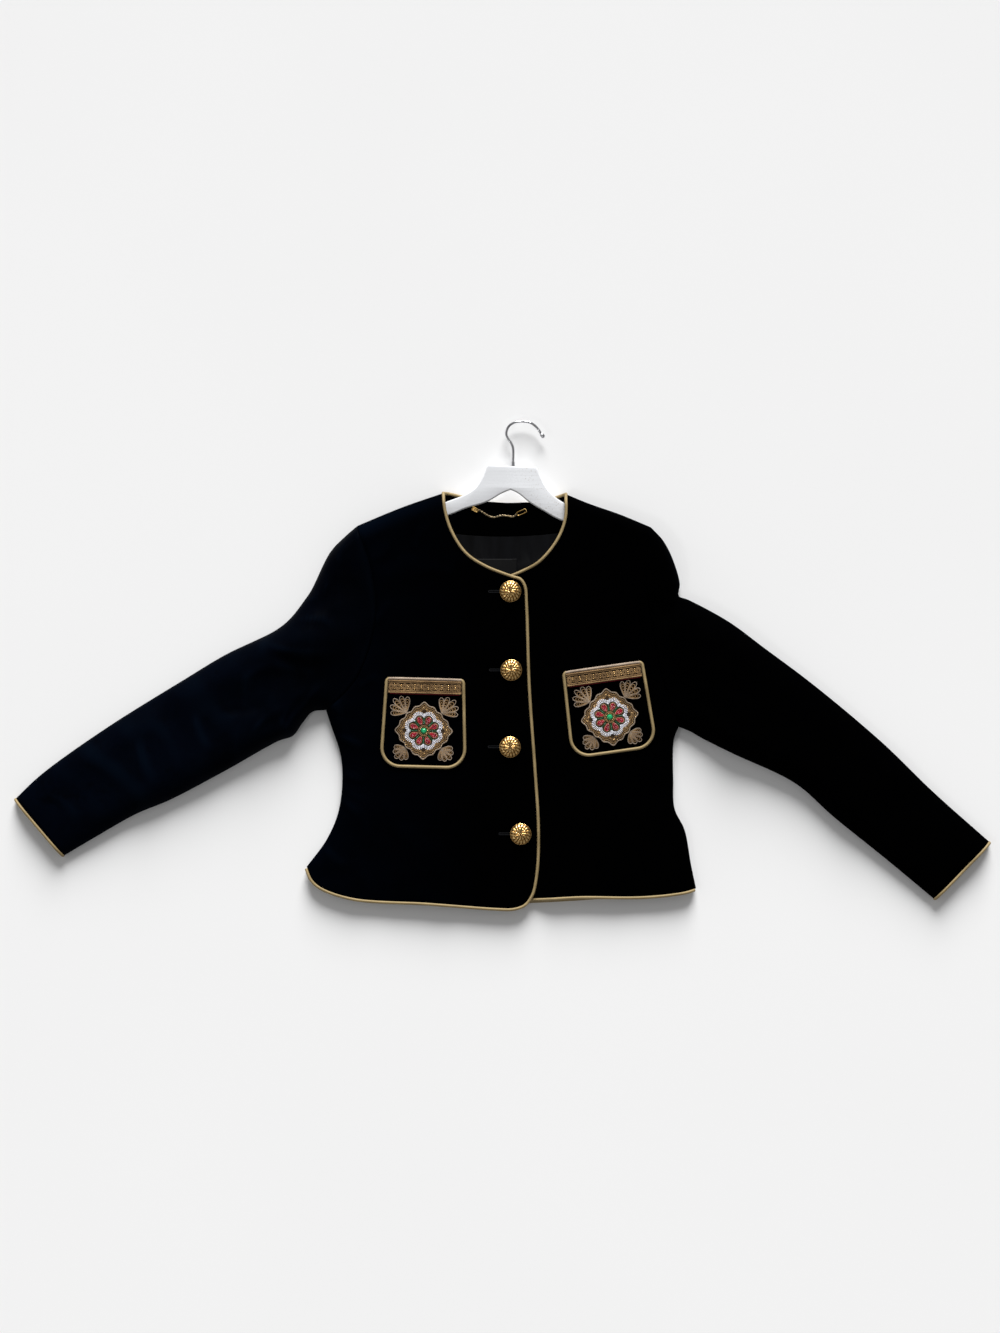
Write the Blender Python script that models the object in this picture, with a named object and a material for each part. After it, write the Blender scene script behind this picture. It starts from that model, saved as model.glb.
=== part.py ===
"""A cropped collarless velvet jacket with gold braid, laid flat on its back with its hanger inside.

+X runs to the right as seen from above, +Y towards the hanger's hook and +Z up from the surface
that the jacket lies on. Names say right and left as the wearer would, so the right side is at -X.
Lengths in this file are in millimetres, and a mesh takes them times MM, in metres.
"""

import math

import bmesh
import bpy
import numpy as np
from mathutils import Vector
from mathutils.bvhtree import BVHTree

MM = 0.001

# Driving sizes
GAP = 0.3  # between two pieces that meet
ARMHOLE_GAP = 0.95  # between a sleeve's head and the body, before the walls' slant narrows it
CLOTH = 2.0  # velvet with its backing
SEAM_Z = 7.0  # height of the side, shoulder and sleeve seams
SEAM_PART = 0.35  # each wall's outer edge keeps this far above or below the seam
UNDER_ROUND = 9.0  # how far in from a seam the underside is flat
BRAID = 2.1  # radius of the braid
EDGE = 2 * BRAID + GAP  # from the outline to the cloth's edge, where braid is sewn round it
LAP_DIP = 6.0  # how far the under front lies below the top front
LAP_SLOPE = 30.0
NECK_TRIM = 7.0  # the back neck's braid stops this far from the neck points
CURVE_STEP = 2.0
RAY_START = 200.0  # height that a ray starts from to find the cloth below it
EDGE_NUDGES = (0.0, 0.05, -0.07, 0.2)
NEAR_SEAM = (0.0, 0.15, 2.5, 8.0, 18.0)  # distances from a rolled edge that get a row of points
ORIGIN_X = 1.25  # the middle of the whole part, on the tables below
ORIGIN_Y = 0.0

# Outline tables, each row a point (x, y) that the smooth edge passes through
SHOULDER_RIGHT = ((-73.8, 225.6), (-129.9, 206.1), (-187.9, 182.1))
SHOULDER_LEFT = ((82.0, 224.3), (114.5, 211.0), (154.1, 197.1), (194.7, 180.3))
SLEEVE_TOP_RIGHT = (
    (-187.9, 182.1), (-204.5, 167.6), (-223.1, 147.9), (-248.0, 98.2), (-256.4, 85.7), (-275.0, 61.8),
    (-294.5, 46.0), (-360.1, 14.0), (-411.5, -16.9), (-517.0, -82.6), (-600.9, -142.7), (-635.6, -175.6),
)
SLEEVE_TOP_LEFT = (
    (194.7, 180.3), (210.5, 163.2), (222.7, 140.0), (232.5, 106.2), (230.8, 90.9), (243.0, 86.0),
    (295.8, 57.5), (342.6, 23.0), (407.6, -25.7), (497.0, -100.9), (562.0, -163.9), (638.3, -231.8),
)
SLEEVE_LOW_RIGHT = (
    (-228.8, -57.9), (-247.0, -60.7), (-259.7, -75.3), (-272.0, -91.7), (-290.8, -98.5), (-360.1, -137.2),
    (-433.0, -175.6), (-476.8, -193.8), (-531.6, -224.9), (-573.0, -249.3),
)
SLEEVE_LOW_LEFT = (
    (230.8, -79.8), (246.0, -86.0), (261.3, -94.8), (302.0, -115.0), (383.2, -153.8), (432.0, -196.4),
    (505.0, -255.3), (566.0, -306.0),
)
SIDE_RIGHT = ((-256.1, -265.1), (-226.9, -224.9), (-211.3, -184.7), (-208.7, -122.9), (-223.3, -75.3), (-228.8, -57.9))
SIDE_LEFT = ((254.4, -293.9), (247.1, -259.4), (238.9, -214.6), (225.6, -186.3), (224.0, -149.6), (224.8, -96.9), (230.8, -79.8))
ARMHOLE_RIGHT = ((-228.8, -57.9), (-205.0, -37.0), (-184.0, -9.0), (-163.2, 59.2), (-168.4, 124.2), (-187.9, 182.1))
ARMHOLE_LEFT = ((230.8, -79.8), (219.0, -50.0), (208.0, -15.0), (194.0, 57.0), (187.0, 122.0), (194.7, 180.3))
HEM_RIGHT = (
    (-256.1, -265.1), (-248.0, -282.8), (-234.7, -293.8), (-192.1, -307.3), (-95.8, -312.9), (-6.2, -319.5),
    (16.1, -319.5), (31.7, -314.0), (38.0, -307.0),
)
FRONT_EDGE_RIGHT = (
    (38.0, -307.0), (43.5, -296.0), (49.0, -262.0), (50.0, -208.7), (45.2, -130.4), (38.0, -25.9), (34.5, 78.7),
    (32.2, 104.1), (25.4, 114.2), (15.2, 117.5), (-20.2, 131.3), (-44.9, 147.9), (-63.6, 176.9), (-72.0, 205.0),
    (-73.8, 225.6),
)
HEM_LEFT = (
    (254.4, -293.9), (237.3, -298.5), (185.3, -304.1), (101.5, -304.1), (45.2, -307.3), (8.0, -308.0),
    (-6.0, -301.0),
)
FRONT_EDGE_LEFT = (
    (-6.0, -301.0), (-12.0, -285.0), (-13.0, -208.7), (-13.0, 0.0), (-12.0, 90.0), (-6.0, 106.0), (6.0, 116.0),
    (24.0, 123.9), (47.3, 136.6), (70.5, 164.6), (81.0, 192.0), (82.0, 224.3),
)
HEM_BACK = ((-256.1, -265.1), (-236.0, -289.0), (-180.0, -303.0), (0.0, -311.0), (180.0, -301.0), (254.4, -293.9))
NECK_BACK = ((-73.8, 225.6), (-51.0, 221.6), (-18.9, 213.2), (8.5, 211.3), (35.8, 212.6), (70.9, 220.4), (82.0, 224.3))
CUFF_RIGHT = ((-573.0, -249.3), (-635.6, -175.6))
CUFF_LEFT = ((566.0, -306.0), (638.3, -231.8))

# Height of the top layer: along the body by y, along a sleeve by the share of its length
BODY_CROWN = ((-320.0, 15.0), (-200.0, 18.0), (-60.0, 22.0), (60.0, 26.0), (140.0, 28.0), (230.0, 25.0))
BODY_ROUND = ((-320.0, 18.0), (-60.0, 20.0), (120.0, 17.0), (230.0, 13.0))
SLEEVE_CROWN = ((0.0, 34.0), (0.2, 38.0), (0.4, 33.0), (0.7, 27.0), (1.0, 19.0))
SLEEVE_ROUND = ((0.0, 24.0), (0.25, 34.0), (0.6, 36.0), (1.0, 28.0))
SHOULDER_LIFT = 7.0

# The largest folds: from (x1, y1) to (x2, y2), how wide and how high
FOLDS = (
    (-305.0, 24.0, -195.0, 42.0, 13.0, 3.5),
    (-250.0, 74.0, -196.0, 100.0, 12.0, -4.0),
    (-345.0, -45.0, -265.0, -12.0, 15.0, -3.5),
    (-425.0, -62.0, -360.0, -112.0, 15.0, -3.0),
    (-530.0, -112.0, -468.0, -165.0, 14.0, 2.5),
    (-292.0, -70.0, -236.0, -18.0, 13.0, -4.0),
    (236.0, 84.0, 196.0, 72.0, 12.0, -4.0),
    (310.0, 18.0, 226.0, 44.0, 14.0, 3.5),
    (296.0, -84.0, 240.0, -30.0, 13.0, -4.0),
    (395.0, -40.0, 345.0, -105.0, 16.0, -3.5),
    (505.0, -140.0, 450.0, -190.0, 15.0, 2.5),
    (-212.0, -118.0, -168.0, -142.0, 15.0, -3.0),
    (222.0, -150.0, 184.0, -168.0, 15.0, -3.0),
    (-64.0, -165.0, -84.0, -300.0, 22.0, 2.5),
    (128.0, -150.0, 140.0, -300.0, 22.0, 2.5),
    (-150.0, 118.0, -118.0, 56.0, 18.0, -2.5),
    (152.0, 118.0, 120.0, 60.0, 18.0, -2.5),
)

# Patch pockets: where the middle lies, how far each is turned, and the outline's sizes
POCKETS = {
    "right": {"x": -100.7, "y": -74.8, "turn": -1.5, "top": 104.0, "bottom": 114.0, "high": 118.0},
    "left": {"x": 139.1, "y": -57.2, "turn": 8.0, "top": 107.0, "bottom": 114.0, "high": 115.0},
}
POCKET_CORNER = 26.0
POCKET_CLOTH = 1.6
BAND_HIGH = 17.0
BAND_THICK = 1.0
APPLIQUE_WIDE = 37.0
APPLIQUE_HIGH = 37.0
APPLIQUE_DOWN = 10.0
APPLIQUE_THICK = 3.4
APPLIQUE_LOBES = 16

BUTTONS = ((11.6, 96.1), (12.7, -5.9), (11.1, -105.8), (25.0, -219.1))
# Turned profile of a domed button: (radius, height)
BUTTON_PROFILE = (
    (0.0, 0.0), (3.6, 0.0), (3.6, 1.6), (11.4, 2.2), (14.0, 3.8), (13.6, 5.4), (11.0, 7.8), (6.4, 9.6), (0.0, 10.3),
)
BUTTON_SIDES = 18

# Neck: the facing inside the back, the lining below it and a bare label
FACING = 1.5
FACING_ROLL = 2.3
FACING_TOP = ((-64.0, 211.0), (-48.0, 213.0), (-18.9, 211.6), (8.5, 210.0), (35.8, 210.5), (52.0, 210.0), (61.0, 206.0))
FACING_LOW = ((-92.0, 176.0), (-40.0, 170.0), (6.0, 168.5), (50.0, 170.5), (100.0, 176.0))
LINING = 1.2
LINING_LOW_Y = 90.0
LINING_FOLD = 2.4
LABEL = {"x": -8.0, "y": 126.0, "wide": 56.0, "high": 26.0, "thick": 1.0}
CHAIN_RADIUS = 1.2
CHAIN = ((-29.5, 203.0), (-12.4, 193.6), (2.0, 195.7), (15.7, 194.3), (19.6, 197.4))
CHAIN_TABS = {"right": (-34.6, 203.4, 8.2, 4.8), "left": (26.4, 200.2, 12.4, 6.2)}
TAB_THICK = 1.4

# Hanger: outline of the wooden bar, clockwise from the yoke's top, and the wire hook's line
HANGER_THICK = 11.0
HANGER_Z = CLOTH + GAP + FACING_ROLL + FACING + GAP
HANGER_EDGE = 2.0
HANGER_BAR = (
    (-18.1, 260.7), (13.0, 261.4), (45.6, 258.1), (52.0, 242.5), (60.5, 228.6), (69.6, 219.6), (82.0, 211.5),
    (120.0, 196.0), (160.0, 180.0), (172.0, 173.0), (175.0, 166.0), (170.0, 161.0), (158.0, 162.5), (118.0, 178.5),
    (78.0, 188.8), (52.0, 203.0), (36.3, 212.6), (22.0, 224.0), (11.8, 228.9), (0.0, 224.0), (-18.9, 213.2),
    (-46.2, 204.8), (-67.7, 195.9), (-112.0, 179.5), (-154.0, 162.5), (-165.0, 160.0), (-169.5, 166.0),
    (-166.0, 174.0), (-154.0, 180.5), (-112.0, 198.0), (-69.6, 213.9), (-48.8, 221.9), (-34.5, 230.8), (-24.0, 246.0),
)
HOOK_RADIUS = 1.7
HOOK = (
    (15.0, 261.9), (15.0, 283.3), (12.6, 289.5), (8.5, 295.5), (6.2, 302.3), (9.5, 311.5), (17.3, 316.6),
    (29.9, 317.8), (39.0, 315.6), (46.8, 309.0), (52.4, 300.7), (55.6, 296.9),
)

MATERIALS = {
    "velvet": ((0.006, 0.009, 0.016, 1.0), 0.85, 0.0),
    "lining": ((0.012, 0.012, 0.015, 1.0), 0.35, 0.0),
    "label": ((0.02, 0.02, 0.022, 1.0), 0.6, 0.0),
    "braid": ((0.28, 0.19, 0.07, 1.0), 0.45, 0.3),
    "lace": ((0.20, 0.12, 0.06, 1.0), 0.6, 0.1),
    "applique": ((0.45, 0.02, 0.04, 1.0), 0.3, 0.0),
    "gold": ((0.72, 0.44, 0.10, 1.0), 0.25, 1.0),
    "wood": ((0.85, 0.85, 0.84, 1.0), 0.45, 0.0),
    "chrome": ((0.62, 0.62, 0.63, 1.0), 0.15, 1.0),
}


def clear_scene():
    """Removes whatever the scene starts with."""
    for obj in list(bpy.data.objects):
        bpy.data.objects.remove(obj, do_unlink=True)


def material(name):
    """The named finish as a Principled material, made once."""
    found = bpy.data.materials.get(name)
    if found:
        return found
    colour, roughness, metallic = MATERIALS[name]
    made = bpy.data.materials.new(name)
    made.use_nodes = True
    shader = made.node_tree.nodes["Principled BSDF"]
    shader.inputs["Base Color"].default_value = colour
    shader.inputs["Roughness"].default_value = roughness
    shader.inputs["Metallic"].default_value = metallic
    made.diffuse_color = colour
    return made


def ease(value):
    """0 below 0, 1 above 1, and a smooth step between."""
    value = np.clip(value, 0.0, 1.0)
    return value * value * (3.0 - 2.0 * value)


def from_table(rows, where):
    """The value at a place, between the rows (place, value) of a table."""
    places, values = zip(*rows)
    return np.interp(where, places, values)


class Line:
    """A smooth line in the plane, held as close points with the distance along it."""

    def __init__(self, points):
        self.points = np.array(points, float)
        steps = np.linalg.norm(np.diff(self.points, axis=0), axis=1)
        self.along = np.concatenate([[0.0], np.cumsum(steps)])
        self.total = self.along[-1]

    @classmethod
    def through(cls, table):
        """The centripetal Catmull-Rom line through a table's points."""
        knots = np.array(table, float)
        ends = 2 * knots[0] - knots[1], 2 * knots[-1] - knots[-2]
        knots = np.vstack([ends[0], knots, ends[1]])
        found = []
        for a, b, c, d in zip(knots, knots[1:], knots[2:], knots[3:]):
            t1 = math.sqrt(np.linalg.norm(b - a))
            t2 = t1 + math.sqrt(np.linalg.norm(c - b))
            t3 = t2 + math.sqrt(np.linalg.norm(d - c))
            count = max(2, int(np.linalg.norm(c - b) / CURVE_STEP))
            for t in np.linspace(t1, t2, count, endpoint=False):
                ab = a + (b - a) * t / t1
                bc = b + (c - b) * (t - t1) / (t2 - t1)
                cd = c + (d - c) * (t - t2) / (t3 - t2)
                abc = ab + (bc - ab) * t / t2
                bcd = bc + (cd - bc) * (t - t1) / (t3 - t1)
                found.append(abc + (bcd - abc) * (t - t1) / (t2 - t1))
        found.append(knots[-2])
        return cls(found)

    def at(self, distance):
        """The point, or points, this far along."""
        return np.stack([np.interp(distance, self.along, self.points[:, k]) for k in (0, 1)], axis=-1)

    def share(self, fraction):
        """The point at this share of the length."""
        return self.at(np.asarray(fraction) * self.total)

    def moved(self, distance):
        """The line moved this far to its left side, which keeps the first line's distances."""
        run = np.gradient(self.points, self.along, axis=0)
        run /= np.linalg.norm(run, axis=1)[:, None]
        found = Line(self.points + distance * np.stack([-run[:, 1], run[:, 0]], axis=1))
        found.along, found.total = self.along, self.total
        return found

    def ends_at(self, first, last):
        """The same line with its ends drawn to these two points."""
        share = (self.along / self.total)[:, None]
        shift = (first - self.points[0]) * (1 - share) ** 8 + (last - self.points[-1]) * share**8
        found = Line(self.points + shift)
        found.along, found.total = self.along, self.total
        return found

    def after(self, distance):
        """What is left of the line past this distance."""
        return Line(np.vstack([self.at(distance)[None], self.points[self.along > distance + 0.01]]))

    def before(self, distance):
        """The line up to this distance."""
        return Line(np.vstack([self.points[self.along < distance - 0.01], self.at(distance)[None]]))

    def join(self, other):
        """This line and then the other."""
        return Line(np.vstack([self.points, other.points[1:]]))

    def back(self):
        """The line run the other way."""
        return Line(self.points[::-1])


def nearest(points, lines):
    """How far each point lies from the nearest of the lines."""
    best = np.full(points.shape[:-1], 1e9)
    for line in lines:
        start, step = line.points[:-1], np.diff(line.points, axis=0)
        rel = points[..., None, :] - start
        t = np.clip((rel * step).sum(-1) / (step * step).sum(-1), 0.0, 1.0)
        gap = np.linalg.norm(rel - t[..., None] * step, axis=-1).min(axis=-1)
        best = np.minimum(best, gap)
    return best


SIDES = {
    "right": {
        "side": Line.through(SIDE_RIGHT),
        "armhole": Line.through(ARMHOLE_RIGHT),
        "shoulder": Line.through(SHOULDER_RIGHT),
        "sleeve_top": Line.through(SLEEVE_TOP_RIGHT),
        "sleeve_low": Line.through(SLEEVE_LOW_RIGHT),
        "cuff": Line.through(CUFF_RIGHT),
        "outward": -1.0,
    },
    "left": {
        "side": Line.through(SIDE_LEFT),
        "armhole": Line.through(ARMHOLE_LEFT),
        "shoulder": Line.through(SHOULDER_LEFT),
        "sleeve_top": Line.through(SLEEVE_TOP_LEFT),
        "sleeve_low": Line.through(SLEEVE_LOW_LEFT),
        "cuff": Line.through(CUFF_LEFT),
        "outward": 1.0,
    },
}
ROLLED = [SIDES[side][name] for side in SIDES for name in ("side", "shoulder", "sleeve_top", "sleeve_low")]


def roll(distance, width):
    """A quarter round that rises from 0 at a rolled edge to 1 this width in from it."""
    inward = 1.0 - np.clip(distance / width, 0.0, 1.0)
    return np.sqrt(1.0 - inward * inward)


def fold_height(points):
    """What the folds add to the top layer."""
    total = np.zeros(points.shape[:-1])
    for x1, y1, x2, y2, width, height in FOLDS:
        start, step = np.array([x1, y1]), np.array([x2 - x1, y2 - y1])
        rel = points - start
        t = (rel @ step) / (step @ step)
        off = np.linalg.norm(rel - np.clip(t, 0.0, 1.0)[..., None] * step, axis=-1)
        total += height * np.exp(-0.5 * (off / width) ** 2)
    return total


def top_height(points, along_sleeve=0.0):
    """Height of the top layer's outer face, on the body or at a share of a sleeve's length."""
    y = points[..., 1]
    reach = np.abs(points[..., 0])
    shoulder = ease((reach - 90.0) / 80.0) * ease((y - 20.0) / 100.0)
    crown = from_table(BODY_CROWN, y) + SHOULDER_LIFT * shoulder
    width = from_table(BODY_ROUND, y)
    on_sleeve = ease(np.asarray(along_sleeve) / 0.22)
    crown = crown + (from_table(SLEEVE_CROWN, along_sleeve) - crown) * on_sleeve
    width = width + (from_table(SLEEVE_ROUND, along_sleeve) - width) * on_sleeve
    rise = roll(nearest(points, ROLLED), width)
    start = SEAM_Z + SEAM_PART
    return start + (crown - start + fold_height(points)) * rise


def under_height(points):
    """Height of the bottom layer's outer face, which is flat but for its rolled edges."""
    return (SEAM_Z - SEAM_PART) * (1.0 - roll(nearest(points, ROLLED), UNDER_ROUND))


def stations(total, middle, near_start, near_end):
    """Distances along a line: close rows at a rolled end, and the given shares of what is between."""
    first = list(NEAR_SEAM) if near_start else [0.0]
    last = [total - d for d in reversed(NEAR_SEAM)] if near_end else [total]
    return np.array(first + [first[-1] + share * (last[0] - first[-1]) for share in middle] + last)


def even(count, low=0.0, high=1.0):
    """This many shares, evenly between two others and without them."""
    return list(np.linspace(low, high, count + 2)[1:-1])


def patch_points(low, high, left, right, rows_left, rows_right, middle, near_left=False, near_right=False):
    """The plan points of a four-sided panel, as rows from its low edge to its high edge.

    left and right run from low to high, and low and high from left to right. rows_left and
    rows_right are the distances along left and right that get a row.
    """
    grid = []
    for c, d in zip(rows_left / left.total, rows_right / right.total):
        v = (c + d) / 2
        total = low.total * (1 - v) + high.total * v
        u = (stations(total, middle, near_left, near_right) / total)[:, None]
        start, end = left.share(c), right.share(d)
        corners = (low.share(0.0), low.share(1.0), high.share(0.0), high.share(1.0))
        edge = (1 - u) * start + u * end
        cross = (1 - v) * low.share(u[:, 0]) + v * high.share(u[:, 0])
        twice = (1 - v) * ((1 - u) * corners[0] + u * corners[1]) + v * ((1 - u) * corners[2] + u * corners[3])
        grid.append(edge + cross - twice)
    return np.array(grid)


def finish(obj, finish_name, smooth_angle=40.0):
    """Gives an object its finish, smooth shading and its place in the scene."""
    obj.data.materials.append(material(finish_name))
    bpy.context.scene.collection.objects.link(obj)
    if obj.type == "MESH":
        obj.data.shade_smooth()
        obj.data.set_sharp_from_angle(angle=math.radians(smooth_angle))
    return obj


def place(x, y, z):
    """A point of the tables as a point of the scene, in metres."""
    return Vector(((x - ORIGIN_X) * MM, (y - ORIGIN_Y) * MM, z * MM))


def sheet(name, plan, heights, thickness, faces_up, finish_name):
    """A panel of cloth from its plan points and the heights of its outer face, thickened inwards."""
    rows, columns = heights.shape
    bm = bmesh.new()
    bmesh.ops.create_grid(bm, x_segments=columns - 1, y_segments=rows - 1, size=0.5)
    for vert in bm.verts:
        j = round((vert.co.x + 0.5) * (columns - 1))
        i = round((vert.co.y + 0.5) * (rows - 1))
        vert.co = place(plan[i, j, 0], plan[i, j, 1], heights[i, j])
    bm.normal_update()
    if (sum(face.normal.z * face.calc_area() for face in bm.faces) > 0) != faces_up:
        bmesh.ops.reverse_faces(bm, faces=bm.faces)
    mesh = bpy.data.meshes.new(name)
    bm.to_mesh(mesh)
    bm.free()
    obj = finish(bpy.data.objects.new(name, mesh), finish_name)
    wall = obj.modifiers.new("wall", "SOLIDIFY")
    wall.thickness = thickness * MM
    wall.offset = -1.0
    return obj


def rope(name, points, radius, finish_name, closed=False, resolution=1):
    """A round braid, wire or chain along these points."""
    curve = bpy.data.curves.new(name, "CURVE")
    curve.dimensions = "3D"
    curve.bevel_depth = radius * MM
    curve.bevel_resolution = resolution
    curve.use_fill_caps = True
    spline = curve.splines.new("POLY")
    spline.points.add(len(points) - 1)
    for target, (x, y, z) in zip(spline.points, points):
        target.co = (*place(x, y, z), 1.0)
    spline.use_cyclic_u = closed
    return finish(bpy.data.objects.new(name, curve), finish_name)


def beside(points, distance, closed=False):
    """A run of plan points moved to its right side, with mitred corners."""
    points = np.asarray(points)
    step = np.diff(np.vstack([points, points[:1]]) if closed else points, axis=0)
    step /= np.linalg.norm(step, axis=1)[:, None]
    before = np.roll(step, 1, axis=0) if closed else np.vstack([step[:1], step])
    after = step if closed else np.vstack([step, step[-1:]])
    mean = before + after
    mean /= np.linalg.norm(mean, axis=1)[:, None]
    cosine = np.maximum((mean * after).sum(axis=1), 0.5)
    return points + distance * np.stack([mean[:, 1], -mean[:, 0]], axis=1) / cosine[:, None]


class Ground:
    """The upper face of a finished piece, for what lies on it."""

    def __init__(self, obj):
        graph = bpy.context.evaluated_depsgraph_get()
        self.tree = BVHTree.FromObject(obj, graph)

    def height(self, x, y):
        """Height of the face at a place of the tables, read beside it where the ray meets an edge."""
        for nudge in EDGE_NUDGES:
            hit = self.tree.ray_cast(place(x + nudge, y + nudge / 2, RAY_START), Vector((0.0, 0.0, -1.0)))[0]
            if hit:
                return hit.z / MM
        raise ValueError(f"nothing lies below {x:.1f}, {y:.1f}")

    def heights(self, plan):
        """Heights at a grid of places."""
        return np.array([[self.height(x, y) for x, y in row] for row in plan])


def body_outer(side):
    """The outer edge of a body panel, from the hem up the side and round the armhole."""
    lines = SIDES[side]
    side_line = lines["side"].after(EDGE)
    return side_line.join(lines["armhole"]), side_line.total


def body_rows(side):
    """Distances up a body panel's outer edge that get a row, shared with the sleeve."""
    outer, side_total = body_outer(side)
    on_side = stations(side_total, even(6), False, False)[:-1]
    on_armhole = side_total + stations(SIDES[side]["armhole"].total, even(5), True, True)
    return outer, np.concatenate([on_side, on_armhole])


def front(side, hem_table, edge_table):
    """The plan of a front, from its hem to its shoulder seam, and from its side to its closing."""
    lines = SIDES[side]
    turn = -lines["outward"]
    hem_line = Line.through(hem_table)
    around = hem_line.join(Line.through(edge_table)).moved(turn * EDGE)
    outer, rows = body_rows(side)
    split = hem_line.total
    shoulder = lines["shoulder"].back()
    neck_point = shoulder.at(shoulder.total - EDGE)
    around = around.ends_at(outer.share(0.0), neck_point)
    hem = around.before(split)
    edge = around.after(split)
    top = shoulder.before(shoulder.total - EDGE)
    return patch_points(hem, top, outer, edge, rows, rows * edge.total / outer.total, even(6), True)


def lap(points, over):
    """How far the under front lies lower, below the top front and close to its edge."""
    inside = points[..., 0] < np.interp(points[..., 1], *over)
    away = np.where(inside, 0.0, points[..., 0] - np.interp(points[..., 1], *over))
    return LAP_DIP * ease(1.0 - away / LAP_SLOPE)


def build_body():
    """The back and both fronts, with the plans that the braid and the pockets follow."""
    plans = {}
    plans["front_right"] = front("right", HEM_RIGHT, FRONT_EDGE_RIGHT)
    plans["front_left"] = front("left", HEM_LEFT, FRONT_EDGE_LEFT)
    heights = {name: top_height(plan) for name, plan in plans.items()}
    over_edge = Line.through(FRONT_EDGE_RIGHT).points
    over_edge = over_edge[over_edge[:, 1] < 112.0]
    heights["front_left"] -= lap(plans["front_left"], (over_edge[:, 1], over_edge[:, 0]))

    left_outer, left_rows = body_rows("right")
    right_outer, right_rows = body_rows("left")
    hem = Line.through(HEM_BACK).moved(EDGE).ends_at(left_outer.share(0.0), right_outer.share(0.0))
    shoulders = [SIDES[side]["shoulder"] for side in ("right", "left")]
    neck_ends = [line.at(EDGE) for line in shoulders]
    neck = Line.through(NECK_BACK).moved(-EDGE).ends_at(*neck_ends)
    ends = [line.after(EDGE) for line in shoulders]
    top = ends[0].back().join(neck).join(ends[1])
    near = NEAR_SEAM[-1]
    bends = (np.array([ends[0].total, ends[0].total + neck.total]) - near) / (top.total - 2 * near)
    middle = [*even(2, 0.0, bends[0]), bends[0], *even(4, *bends), bends[1], *even(2, bends[1], 1.0)]
    plans["back"] = patch_points(hem, top, left_outer, right_outer, left_rows, right_rows, middle, True, True)
    heights["back"] = under_height(plans["back"])
    for name, plan in plans.items():
        sheet(name, plan, heights[name], CLOTH, name != "back", "velvet")
    return plans, heights


def build_sleeve(side):
    """The upper and the under half of a sleeve, and the braid round its cuff."""
    lines = SIDES[side]
    turn = -lines["outward"]
    top, low = lines["sleeve_top"], lines["sleeve_low"]
    top = top.before(top.total - EDGE).after(ARMHOLE_GAP)
    low = low.before(low.total - EDGE).after(ARMHOLE_GAP)
    armhole = lines["armhole"].moved(turn * ARMHOLE_GAP).ends_at(low.share(0.0), top.share(0.0))
    cuff = Line([low.share(1.0), top.share(1.0)])
    along = np.linspace(0.0, 1.0, 17)
    plan = patch_points(armhole, cuff, low, top, along * low.total, along * top.total, even(5), True, True)
    share = np.repeat(along[:, None], plan.shape[1], axis=1)
    upper = top_height(plan, share)
    under = under_height(plan)
    sheet(f"sleeve_{side}_upper", plan, upper, CLOTH, True, "velvet")
    sheet(f"sleeve_{side}_under", plan, under, CLOTH, False, "velvet")

    skip = 2
    out = np.stack([*(plan[-1] - plan[-2]).T], axis=1)
    out = out.mean(axis=0) / np.linalg.norm(out.mean(axis=0)) * (BRAID + GAP)
    inner = plan[-1, skip:-skip] + out
    above = np.column_stack([inner, upper[-1, skip:-skip] - CLOTH / 2])
    below = np.column_stack([inner, np.maximum(under[-1, skip:-skip] + CLOTH / 2, BRAID + 0.05)])
    span = plan[-1, -1] - plan[-1, 0]
    span /= np.linalg.norm(span)
    ends = [np.append(plan[-1, k] + out + sign * span * CLOTH / 2, SEAM_Z) for k, sign in ((0, 1), (-1, -1))]
    ring = [ends[0], *above, ends[1], *below[::-1]]
    rope(f"braid_cuff_{side}", ring, BRAID, "braid", closed=True)


def open_edge(plan, heights, skip):
    """The free edge of a front, along its hem and then up its closing, as plan points and heights."""
    line = np.vstack([plan[0, skip:], plan[1:, -1]])
    return line, np.concatenate([heights[0, skip:], heights[1:, -1]])


def build_braids(plans, heights):
    """Braid round the free edges of the body, laid beside the cloth's edge."""
    reach = BRAID + GAP
    for side, turn in (("right", 1.0), ("left", -1.0)):
        name = f"front_{side}"
        line, high = open_edge(plans[name], heights[name], 3)
        line, high = line[:-3], high[:-3]
        line = beside(line, turn * reach)
        rope(f"braid_{name}", np.column_stack([line, high - CLOTH / 2]), BRAID, "braid")
    back, low = plans["back"], heights["back"]
    hem = beside(back[0, 3:-3], reach)
    rope("braid_back_hem", np.column_stack([hem, np.full(len(hem), BRAID + 0.05)]), BRAID, "braid")
    first = len(NEAR_SEAM) + 2
    neck = Line(back[-1, first:-first])
    neck = neck.after(NECK_TRIM).before(neck.total - NECK_TRIM)
    line = beside(neck.points, -reach)
    high = np.maximum(under_height(line) + CLOTH / 2, BRAID + 0.05)
    rope("braid_back_neck", np.column_stack([line, high]), BRAID, "braid")


def pocket_lines(size, inset):
    """A pocket's outline as its low, high, left and right lines, in its own plane."""
    half_high = size["high"] / 2
    radius = POCKET_CORNER - inset
    half_low, half_top = size["bottom"] / 2, size["top"] / 2
    half_bend = half_low + (half_top - half_low) * POCKET_CORNER / size["high"]
    centre = np.array([half_bend - POCKET_CORNER, POCKET_CORNER - half_high])

    def arc(start, end):
        turns = np.radians(np.linspace(start, end, 7))
        return [centre + radius * np.array([math.cos(t), math.sin(t)]) for t in turns]

    right = Line(arc(-45, 0) + [np.array([half_top - inset, half_high - inset])])
    mirror = np.array([-1.0, 1.0])
    left = Line(right.points * mirror)
    low_half = arc(-90, -45)
    low = Line([p * mirror for p in reversed(low_half)] + low_half)
    high = Line([left.points[-1], right.points[-1]])
    return low, high, left, right


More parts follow.
